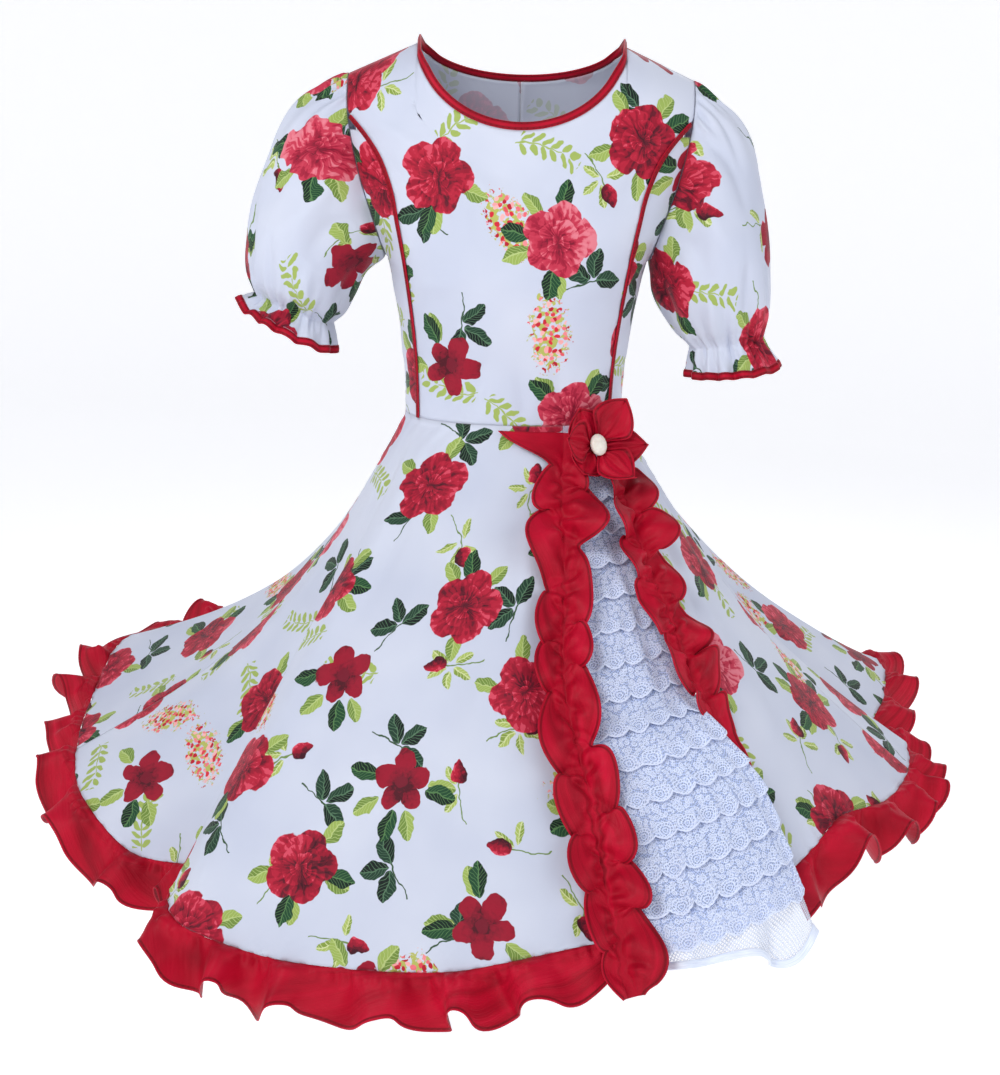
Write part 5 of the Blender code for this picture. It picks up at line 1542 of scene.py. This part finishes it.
def hem_ruffle(name, panel, seed, calm_start=0.0, calm_end=0.0, begin=0.0, stop=0.0):
    """Seam point + outwards x width + normal x height x sin(phase) + along x cos(phase).

    Broad lobes hang and narrow ones rise.
    """
    hem = panel[-1]
    run = run_of(hem)
    length = float(run[-1])
    waves = max(3, round(length / HEM_WAVE_LENGTH))
    count = waves * 34 + 1
    at = np.linspace(begin, length - stop, count)

    def carry(values):
        """Values given at the panel's hem points, read at the frill's points."""
        return np.stack([np.interp(at, run, values[:, k]) for k in range(3)], axis=1)

    calm = np.ones(count)
    if calm_start:
        calm *= calm_start + (1 - calm_start) * ease((at - 0.014) / 0.04)
    if calm_end:
        calm *= calm_end + (1 - calm_end) * ease((length - stop - at - 0.028) / 0.035)
    seam = carry(hem)
    outward = unit(carry(unit(panel[-1] - panel[-3])))
    normal = unit(carry(grid_normals(panel)[-2]))
    tangent = unit(np.gradient(seam, axis=0))
    reach = RUFFLE_SHARE * RUFFLE_REACH * SKIRT_SLOPE_LENGTH
    if calm_end:
        reach = reach * (0.55 + 0.45 * ease((length - stop - at) / 0.045) ** 0.7)
    even = 2 * math.pi * waves * np.linspace(0, 1, count)
    phase = even + 1.35 * wander(even / 4.6, seed)
    strength = np.clip(1.1 + 0.45 * wander(even / 4.2, seed + 1), 0.5, 1.7) * calm
    small = wander(even * 1.7, seed + 2) * calm
    gather = wander(even * 4.2, seed + 4)
    turned = np.clip(1.6 * wander(even / 7.0, seed + 3), -1, 1)
    radian = length / waves / (2 * math.pi)
    rows = []
    parts = np.concatenate([np.linspace(0, 0.86, 15)[:-1], np.linspace(0.86, 1.0, 6)])
    for part in parts:
        swing = HEM_WAVE_HEIGHT * (0.22 * ease(part / 0.15) + 0.78 * part**0.8) * strength
        fine = 0.0038 * small * bell(part, 0.40, 0.28) * float(ease(part / 0.10))
        fine = fine + 0.0024 * bell(part, 0.16, 0.11) * (1 + 0.6 * gather)
        fine = fine + 0.0013 * gather * bell(part, 0.12, 0.17) * float(ease(part / 0.04))
        fold = -0.30 * np.sin(2 * phase + 0.9 * turned * part) + (0.50 + 0.22 * turned) * np.cos(phase)
        lean = radian * part**1.3 * np.minimum(strength, 0.95) * fold
        lap = phase + 0.9 * turned * part
        sway = np.sin(lap) + 0.20 * np.sin(2 * lap + 0.8) * part
        roll = 0.0007 * bell(part, 0.965, 0.03)
        drawn_in = (swing * sway) ** 2 / (2.4 * reach)
        far = SEAM + reach * part - drawn_in + 0.0080 * strength * np.cos(phase + 1.3) * part**2
        place = seam + outward * far[:, None] + normal * (swing * sway + fine + roll)[:, None]
        rows.append(place + tangent * lean[:, None])
    grid = pull_edges(np.stack(rows), GAP)
    down = run_along(grid, 0)
    flat, border = flat_of(grid, start=(seed * 0.13, 0.0)), down[-1:] - down
    cloth_piece(f"hem_ruffle_{name}", grid, flat, *RED_CLOTH, "gathered", f"skirt_{name}", from_edge=border)


hem_ruffle("front_right", plain_panels["front_right"][0], 111, calm_end=0.12, stop=0.008)
hem_ruffle("front_left", plain_panels["front_left"][0], 121, calm_start=0.12, begin=0.012)
hem_ruffle("back", plain_panels["back"][0], 131)

# %% [markdown]
# ## Slit frills
# A strip gathered down its middle lies on each edge of the slit, both borders free. The gathering thread
# pinches it into folds that fan out to the borders. Each row down the strip repeats the solids' widths.

# %% Slit frills
# share of the length, width to the print, width over the lace, wave height
RUFFLE_RIGHT_ROWS = (
    (0.004, 0.066, 0.012, 0.0003),
    (0.030, 0.052, 0.014, 0.0005),
    (0.062, 0.024, 0.018, 0.0018),
    (0.085, 0.021, 0.024, 0.0040),
    (0.125, 0.030, 0.032, 0.0068),
    (0.320, 0.028, 0.029, 0.0075),
    (0.460, 0.028, 0.024, 0.0075),
    (0.600, 0.031, 0.028, 0.0080),
    (0.930, 0.033, 0.032, 0.0080),
    (1.035, 0.032, 0.031, 0.0080),
    (1.080, 0.023, 0.024, 0.0055),
    (1.106, 0.007, 0.009, 0.0020),
)
RUFFLE_LEFT_ROWS = (
    (0.050, 0.020, 0.014, 0.0005),
    (0.100, 0.028, 0.024, 0.0045),
    (0.150, 0.029, 0.028, 0.0068),
    (0.520, 0.029, 0.028, 0.0070),
    (0.600, 0.026, 0.025, 0.0048),
    (0.660, 0.021, 0.018, 0.0022),
    (0.740, 0.017, 0.012, 0.0012),
    (0.985, 0.012, 0.010, 0.0006),
)
SLIT_WAVES = 9
SLIT_SEAT = 0.0016
SLIT_LIFT = 0.0040


def border_at(grid, share, column, places):
    """Points down a column of a panel at shares of its length, carried on straight below the hem."""
    line = grid[1:, column]
    found = np.stack([np.interp(share, places, line[:, k]) for k in range(3)], axis=-1)
    slope = (line[-1] - line[-2]) / (places[-1] - places[-2])
    return found + np.maximum(share - 1, 0)[:, None] * slope


def slit_ruffle(name, panel, edge, table, side, seed):
    """Base + normal x (seat + arch x height x (1 + cos phase)) + along x sin(phase).

    Broad lobes stand between narrow pinches.
    """
    column = -1 if side > 0 else 0
    count = SLIT_WAVES * 32 + 1
    share = np.linspace(table[0][0], table[-1][0], count)
    row = smooth(table, share)
    angle = edge(np.minimum(share, 1.0))
    places = np.linspace(0, 1, SKIRT_ROWS)
    middle = border_at(panel, share, column, places)
    normal = unit(border_at(grid_normals(panel), np.minimum(share, 1.0), column, places))
    down = unit(np.gradient(middle, axis=0))
    to_cloth = unit(np.cross(down, normal)) * side
    step = skirt_point(angle + 1.0, share) - skirt_point(angle - 1.0, share)
    per_metre = 2.0 / np.maximum(np.linalg.norm(step, axis=1), 1e-6)
    even = 2 * math.pi * SLIT_WAVES * np.linspace(0, 1, count)
    phase = even + 0.95 * wander(even / 4.0, seed)
    strength = np.clip(1.0 + 0.42 * wander(even / 3.3, seed + 1), 0.45, 1.6)
    small = wander(even * 2.6, seed + 2)
    turned = np.clip(1.5 * wander(even / 6.0, seed + 3), -1, 1)
    calm = np.clip(row[:, 2] / 0.006, 0, 1)
    radian = np.linalg.norm(np.diff(middle, axis=0), axis=1).sum() / even[-1]
    sideways = to_cloth * (0.0032 * turned * calm + 0.0014 * small * calm)[:, None]
    columns = []
    rolled = np.linspace(0.9, 1, 4)[1:]
    for across in np.concatenate([-rolled[::-1], np.linspace(-0.9, 0.9, 31), rolled]):
        far = abs(across)
        lap = phase + (0.0 if across >= 0 else 2.5 + 0.9 * turned)
        arch = 0.45 * math.sin(0.68 * math.pi * far) ** 0.85 + 0.62 * far**1.1
        reach = 0.86 + 0.26 * calm * strength * np.cos(lap) * far
        near = bell(far, 0.30, 0.26) * float(ease(far / 0.12))
        fine = (0.0028 * small + 0.0038 * np.cos(3 * lap + 4 * far + turned)) * calm * near
        fine = fine + 0.0030 * np.cos(2 * lap + 1.3 * turned - 2 * far) * calm * arch
        lobe = 1.15 * row[:, 2] * strength * arch * (1.0 + np.cos(lap - 0.9 * turned))
        rise = SLIT_SEAT + (SLIT_LIFT - SLIT_SEAT) * far + lobe + np.maximum(fine, -0.8 * lobe)
        rise = rise + 0.0004 * float(abs(far - 0.95) < 0.04)
        slide = radian * far**1.4 * calm * (1.25 * np.sin(lap) + 0.75 * turned * np.cos(lap))
        if across > 0:
            turn = angle - side * across * row[:, 0] * reach * per_metre
            base, up = skirt_point(turn, share), skirt_normal(turn, np.clip(share, 0.03, 0.98))
        else:
            base, up = middle + to_cloth * (across * row[:, 1] * reach)[:, None], normal
        base = base + sideways * (1 - far)
        columns.append(base + up * rise[:, None] + down * slide[:, None])
    grid = np.stack(columns, axis=1)
    if side > 0:
        grid = grid[:, ::-1]
    across = run_along(grid, 1)
    centre = across[:, [grid.shape[1] // 2]]
    distance = np.minimum(np.minimum(across, across[:, -1:] - across), np.abs(across - centre) + 0.0046)
    flat = flat_of(grid, start=(0.0, seed * 0.1))[..., ::-1]
    ruffle, panel = f"slit_ruffle_{name}", f"skirt_front_{name}"
    cloth_piece(ruffle, grid, flat, *RED_CLOTH, "gathered", panel, from_edge=distance)


slit_ruffle("right", plain_panels["front_right"][0], right_edge, RUFFLE_RIGHT_ROWS, 1.0, 141)
slit_ruffle("left", plain_panels["front_left"][0], left_edge, RUFFLE_LEFT_ROWS, -1.0, 151)

# %% [markdown]
# ## Lace panel
# Behind the slit hangs a lining with fourteen rows of gathered lace sewn on, each row's scalloped edge
# over the head of the next, and a bound tulle flounce under the last. The rows stand off the lining
# by 5 mm at their edges, and each scallop curls a little by itself.

# %% Sizes of the lace
# share of the length, waist angles of its two borders, and how far those stand out from the skirt
LACE_ROWS = (
    (0.00, 20.0, 55.0, -0.0095, -0.0095),
    (0.15, 18.0, 53.0, -0.0120, -0.0115),
    (0.35, 15.5, 52.0, -0.0140, -0.0130),
    (0.53, 15.0, 51.0, -0.0140, -0.0125),
    (0.575, 15.7, 50.3, -0.0140, -0.0105),
    (0.62, 16.5, 50.1, -0.0140, -0.0020),
    (0.665, 17.5, 50.6, -0.0140, 0.0080),
    (0.72, 19.0, 52.2, -0.0140, 0.0120),
    (0.80, 21.0, 54.6, -0.0140, 0.0145),
    (0.92, 22.5, 54.6, -0.0140, 0.0170),
    (1.16, 24.5, 52.2, -0.0140, 0.0190),
)
LACE_BOW = 0.020
LACE_TIERS = 14
LACE_TOP = 0.06
LACE_BOTTOM = 1.0
LACE_LAST = 1.02
LACE_PITCH = (LACE_LAST - LACE_TOP) / LACE_TIERS
SCALLOP_DEPTH = 0.0078
TIER_OVERLAP = 1.35
TIER_BASE = 0.0015
TIER_FOOT_LIFT = 0.0046
LACE_SEAM_BACK = -0.0015
# the lace starts that share across the lining, and the strip beside it leads to the hidden seam
LACE_SIDE = 0.125


def slit_point(angle, share):
    """The skirt's surface, carried straight across the slit with a slight bow."""
    first, last = right_edge(share), left_edge(share)
    t = (angle - first) / (last - first)
    a, b = skirt_point(first, share), skirt_point(last, share)
    part = np.clip(t, 0, 1)[..., None]
    inside = a + (b - a) * part
    swell = LACE_BOW * np.clip(share, 0, 1)[..., None] * np.sin(math.pi * part)
    inside = inside + unit(inside * np.array([1.0, 1.0, 0.0])) * swell
    return np.where(((t >= 0) & (t <= 1))[..., None], inside, skirt_point(angle, share))


def slit_normal(angle, share):
    """Points out of that surface."""
    middle = np.clip(angle, right_edge(share) + 2, left_edge(share) - 2)
    across = slit_point(middle + 1, share) - slit_point(middle - 1, share)
    down = slit_point(middle, share + 0.02) - slit_point(middle, np.maximum(share - 0.02, 0))
    return unit(np.cross(down, across))


def lace_point(across, share, lift):
    """across from 0 to 1, share down from the waist, lift off the lining."""
    row = smooth(LACE_ROWS, share)
    angle = row[..., 0] + (row[..., 1] - row[..., 0]) * across
    stand = row[..., 2] + (row[..., 3] - row[..., 2]) * ease((across - 0.15) / 0.75)
    return slit_point(angle, share) + slit_normal(angle, share) * (stand + lift)[..., None]


def lining_point(across, share):
    """The lining: on the lace surface, and beside it straight to its hidden seam."""
    on = lace_point(np.maximum(across, LACE_SIDE), share, np.zeros(np.shape(share)))
    seam_angle = right_edge(np.minimum(share, 1.0))
    seam_angle = seam_angle - (seam_angle + 90) / 26
    seam = skirt_point(seam_angle, share) + skirt_normal(seam_angle, share) * LACE_SEAM_BACK
    part = np.clip(across / LACE_SIDE, 0, 1)[..., None]
    return np.where(across[..., None] < LACE_SIDE, seam * (1 - part) + on * part, on)


shares = np.concatenate([[0.004], np.linspace(LACE_TOP, LACE_BOTTOM, 72)])
across, share = np.meshgrid(np.linspace(0, 1, 65), shares)
lining = lining_point(across, share)
ground = ([LACE_GROUND], "white_lace", "hung", "skirt_front_right")
cloth_piece("lace_lining", lining, flat_of(lining), *ground, thick=LACE_THREAD, from_edge=np.ones(lining.shape[:2]))
print("lace rows are", round(float(run_along(lining, 0)[-1].mean()) / LACE_TIERS * 1000, 1), "mm apart")

# %% Tiers of lace


def lace_tier(i):
    """Lining point + normal x (base + foot lift x share of the drop + a curl in each scallop)."""
    head = LACE_TOP + LACE_PITCH * (i + 0.08)
    foot = LACE_TOP + LACE_PITCH * (i + TIER_OVERLAP)
    ends = lining_point(np.array([LACE_SIDE, 0.42, 0.71, 1.0]), np.full(4, foot))
    width = float(np.linalg.norm(np.diff(ends, axis=0), axis=1).sum())
    scallops = max(2, round(width / SCALLOP_WIDTH))
    s = np.linspace(0.0, 1.0, 20 * scallops + 1)
    lap = math.pi * scallops * s
    deep = 0.75 + 0.35 * wander(s * width * 60, 221 + i)
    depth = SCALLOP_DEPTH * deep * (np.abs(np.sin(lap)) ** 0.9 - 0.5 + 0.12 * np.abs(np.sin(5 * lap)) ** 1.5)
    drop = np.linspace(0, 1, 15)[:, None]
    low = foot + depth / 0.56
    share = head + (low - head) * drop
    place = LACE_SIDE + (1 - LACE_SIDE) * np.broadcast_to(s, share.shape)
    base = lining_point(place, share)
    normal = grid_normals(lining_point(place, head + (foot - head) * np.broadcast_to(drop, share.shape)))
    gather = 0.0010 * wander(s * width * 330, 161 + i) * bell(drop, 0.12, 0.22)
    curl = 0.0015 * np.cos(2 * lap + 0.9 * np.sin(i + s * 5)) * drop**1.5
    flare = 0.0012 * wander(s * width * 90, 191 + i) * drop
    rise = TIER_BASE + TIER_FOOT_LIFT * drop + np.abs(gather) * ease(drop / 0.1) + (curl + flare + 0.0016 * drop)
    grid = base + normal * rise[..., None]
    down = run_along(grid, 0)
    looks = ([LACE], "white_lace", "gathered", "lace_lining")
    across = np.broadcast_to((s * scallops + 29 * i) * SCALLOP_WIDTH, down.shape)
    border = down[-1:] - down
    flat = np.stack([across, border + i * 0.21], axis=-1)
    cloth_piece(f"lace_tier_{i + 1:02d}", grid, flat, *looks, thick=LACE_THREAD, from_edge=border)


for i in range(LACE_TIERS):
    lace_tier(i)

# %% Tulle flounce and its ribbon
TULLE_BOTTOM_RIGHT = 1.025
TULLE_BOTTOM_LEFT = 1.150
TULLE_WAVE = 0.0150
TULLE_BINDING_HALF = 0.0042

s = np.linspace(0.0, 1.0, 161)
wave = TULLE_WAVE * (0.25 + 0.75 * s) * np.sin(2 * math.pi * 3.25 * s + 0.6)
low = TULLE_BOTTOM_RIGHT + (TULLE_BOTTOM_LEFT - TULLE_BOTTOM_RIGHT) * s**1.5 - 0.010 * np.cos(2 * math.pi * 1.6 * s)
low = low - 0.060 * ease((s - 0.84) / 0.16) ** 1.5
place = LACE_SIDE + (1 - LACE_SIDE) * s
last_share = np.full(s.shape, LACE_BOTTOM)
top = lining_point(place, last_share)
top = top + unit(top - lining_point(place, last_share - 0.01)) * (GAP + 0.0002)
half = lace_point(place, LACE_BOTTOM + (low - LACE_BOTTOM) * 0.5, wave * 0.5 - 0.00175)
full = lace_point(place, low, wave - 0.0035)
drop = np.linspace(0, 1, 24)[:, None, None]
tulle = top * (1 - drop) * (1 - 2 * drop) + 4 * half * drop * (1 - drop) + full * drop * (2 * drop - 1)
tulle = pressed(tulle, 0.0016 * wander(s * 60, 211) * drop[..., 0] * (1 - 0.6 * drop[..., 0]))
looks = ([TULLE], "white_tulle", "gathered", "lace_lining")
cloth_piece("tulle_hem", tulle, flat_of(tulle), *looks, thick=LACE_THREAD)

off = unit(tulle[-1] - tulle[-2])
tangent = unit(np.gradient(tulle[-1], axis=0))
normal = unit(np.cross(tangent, off))
off = unit(np.cross(normal, tangent))
line = tulle[-1] + off * (TULLE_BINDING_HALF + GAP)
made, cut = strip("tulle_binding_cloth", line, off, normal, TULLE_BINDING_HALF, BINDING_HALF_THICK, RIBBON)
sew_in(made, "tulle_binding")

# %% [markdown]
# ## Flower and button
# The flower that closes the slit is six pointed petals of the red cloth, each pinched at its root so that
# creases fan out, under an ivory shank button. A petal's width follows a sine along its length, and its
# creases are ridges of the angle across it, deepest near the root.

# %% Petals
FLOWER_ANGLE = 37.0
FLOWER_HEIGHT = -0.441
FLOWER_STAND = 0.0231
FLOWER_FACING = 26.0
FLOWER_TILT = 24.0
# direction seen from the front, length, half width, layer, tip lift
PETAL_ROWS = (
    (50, 0.062, 0.0250, 1, 0.004),
    (113, 0.045, 0.0235, 0, 0.006),
    (170, 0.044, 0.0225, 1, 0.008),
    (233, 0.041, 0.0215, 0, 0.008),
    (300, 0.051, 0.0240, 1, 0.018),
    (355, 0.058, 0.0240, 0, 0.012),
)
PETAL_START = 0.0045
PETAL_BEND = 0.022
PETAL_ROOT = 0.0021
PETAL_LAYER = 0.0092
PETAL_THICK = 0.0009

facing, tilt = math.radians(FLOWER_FACING), math.radians(FLOWER_TILT)
level = np.array([math.sin(facing), -math.cos(facing), 0.0])
rise = np.array([0.0, 0.0, 1.0])
flower_out = level * math.cos(tilt) + rise * math.sin(tilt)
flower_up = rise * math.cos(tilt) - level * math.sin(tilt)
flower_right = np.array([math.cos(facing), math.sin(facing), 0.0])
seat = waist_point(np.array(FLOWER_ANGLE))
seat[2] = FLOWER_HEIGHT
flower_centre = seat + flower_out * FLOWER_STAND

for i, (direction, length, half, layer, tip) in enumerate(PETAL_ROWS):
    spin = math.radians(direction)
    ray = flower_right * math.cos(spin) + flower_up * math.sin(spin)
    side = flower_up * math.cos(spin) - flower_right * math.sin(spin)
    t = np.linspace(0, 1, 40)[:, None]
    w = np.linspace(-1, 1, 45)[None, :]
    span = PETAL_START + (length - PETAL_START) * t
    taper = 1 - np.clip((t - 0.42) / 0.58, 0, 1) ** 2.0 * 0.985
    wide = half * (0.14 + 0.90 * ease(t / 0.42)) * taper
    wide = np.minimum(wide, 1.35 * span)
    apart = PETAL_ROOT + (PETAL_LAYER - PETAL_ROOT) * ease(span / 0.022)
    bend = np.maximum(span - PETAL_BEND, 0.0) / (length - PETAL_BEND)
    base = apart * layer + 0.007 * np.sin(math.pi * 0.7 * np.minimum(span / 0.06, 1.0)) + tip * bend**2
    base = base + (0.0030 * (1 - w * w) - 0.0012 * w) * np.minimum(span / 0.03, 1.0)
    fan = np.cos(w * 8.5 + i) + 0.5 * np.cos(w * 17 + 2 * i)
    base = base + 0.0026 * fan * np.sin(math.pi * np.clip(t * 1.15, 0, 1)) ** 0.6 * (1 - 0.75 * t)
    base = base + (0.0036 + 0.0034 * layer) * (w * w - 0.3) * ease(t / 0.5) * (1 - 0.4 * t)
    base = base + 0.0030 * w * math.sin(2.4 * i + 0.5) * ease(t / 0.6) - 0.0020 * bell(w, 0, 0.14) * t
    grid = flower_centre + ray * span[..., None] + side * (wide * w)[..., None] + flower_out * base[..., None]
    distance = np.minimum((1 - np.abs(w)) * wide, (1 - t) * length)
    flat = np.stack([np.broadcast_to(span, grid.shape[:2]) + 0.2 * i, wide * w], axis=-1)
    grid, flat, distance = grid[:, ::-1], flat[:, ::-1], distance[:, ::-1]
    sizes = {"thick": PETAL_THICK, "from_edge": distance}
    cloth_piece(f"flower_petal_{i + 1}", grid, flat, *RED_CLOTH, "folded", "bodice_front", **sizes)

# %% [markdown]
# The button is cast polyester with a pearl filler: smooth, glossy and slightly deep, since a little light
# enters it. It is a low dome turned about its axis, a bit taller than wide, with a shank behind.

# %% Ivory button
button_finish, put, join = new_finish(
    "pearl_polyester_button", 0.34, Coat_Weight=0.15, Coat_Roughness=0.20, Subsurface_Weight=0.10
)
at = put("TexCoord", out="Object")
cloud = put("TexNoise", Vector=at, Scale=160.0, Detail=3.0, Distortion=1.5)
colour = put("ValToRGB", cloud, stops=((0.3, "#DED4C8"), (0.55, "#E6DDD2"), (0.8, "#EEE7DD")))
join("Base Color", colour)

BUTTON_RADIUS = 0.0115
BUTTON_DOME = 0.0055
BUTTON_LIFT = 0.0128
SHANK_RADIUS = 0.0030
SHANK_LENGTH = 0.0130
BUTTON_SIDES = 48
rim = np.radians(np.concatenate([np.linspace(89.5, 10, 16), np.linspace(0, -40, 6)]))
dome = np.stack([BUTTON_RADIUS * np.cos(rim), BUTTON_DOME * np.sin(rim)], axis=1)
# radius and height of the shank's rings
shank = (
    (SHANK_RADIUS * 1.4, -BUTTON_DOME * 0.62),
    (SHANK_RADIUS, -BUTTON_DOME * 0.8),
    (SHANK_RADIUS, -SHANK_LENGTH),
    (0.0002, -SHANK_LENGTH),
)
profile = np.concatenate([dome, shank])[:, :, None, None]
turn = np.linspace(0, 2 * math.pi, BUTTON_SIDES, endpoint=False)
ring = np.cos(turn)[:, None] * flower_right * 0.84 + np.sin(turn)[:, None] * flower_up * 1.06
centre = flower_centre + flower_out * BUTTON_LIFT
points = (centre + profile[:, 0] * ring + profile[:, 1] * flower_out).reshape(-1, 3)
cap = cap_faces(BUTTON_SIDES)
back_cap = cap[:, ::-1] + (len(profile) - 1) * BUTTON_SIDES
faces = np.concatenate([tube_faces(len(profile), BUTTON_SIDES), cap, back_cap])
shaded = np.arange(len(faces)) < len(faces) - len(back_cap)
flat = np.zeros((len(faces), 4, 2))
made = mesh_from("ivory_button", points, faces, flat, np.zeros(len(faces)), shaded, [button_finish])
sew_in(made, "flower_button")

# %% [markdown]
# ## Triangles
# The sewn pieces' triangles are counted and printed.

# %% Count the triangles
print("triangles added:", sum(sum(len(p.vertices) - 2 for p in o.data.polygons) for o in sewn.values()))
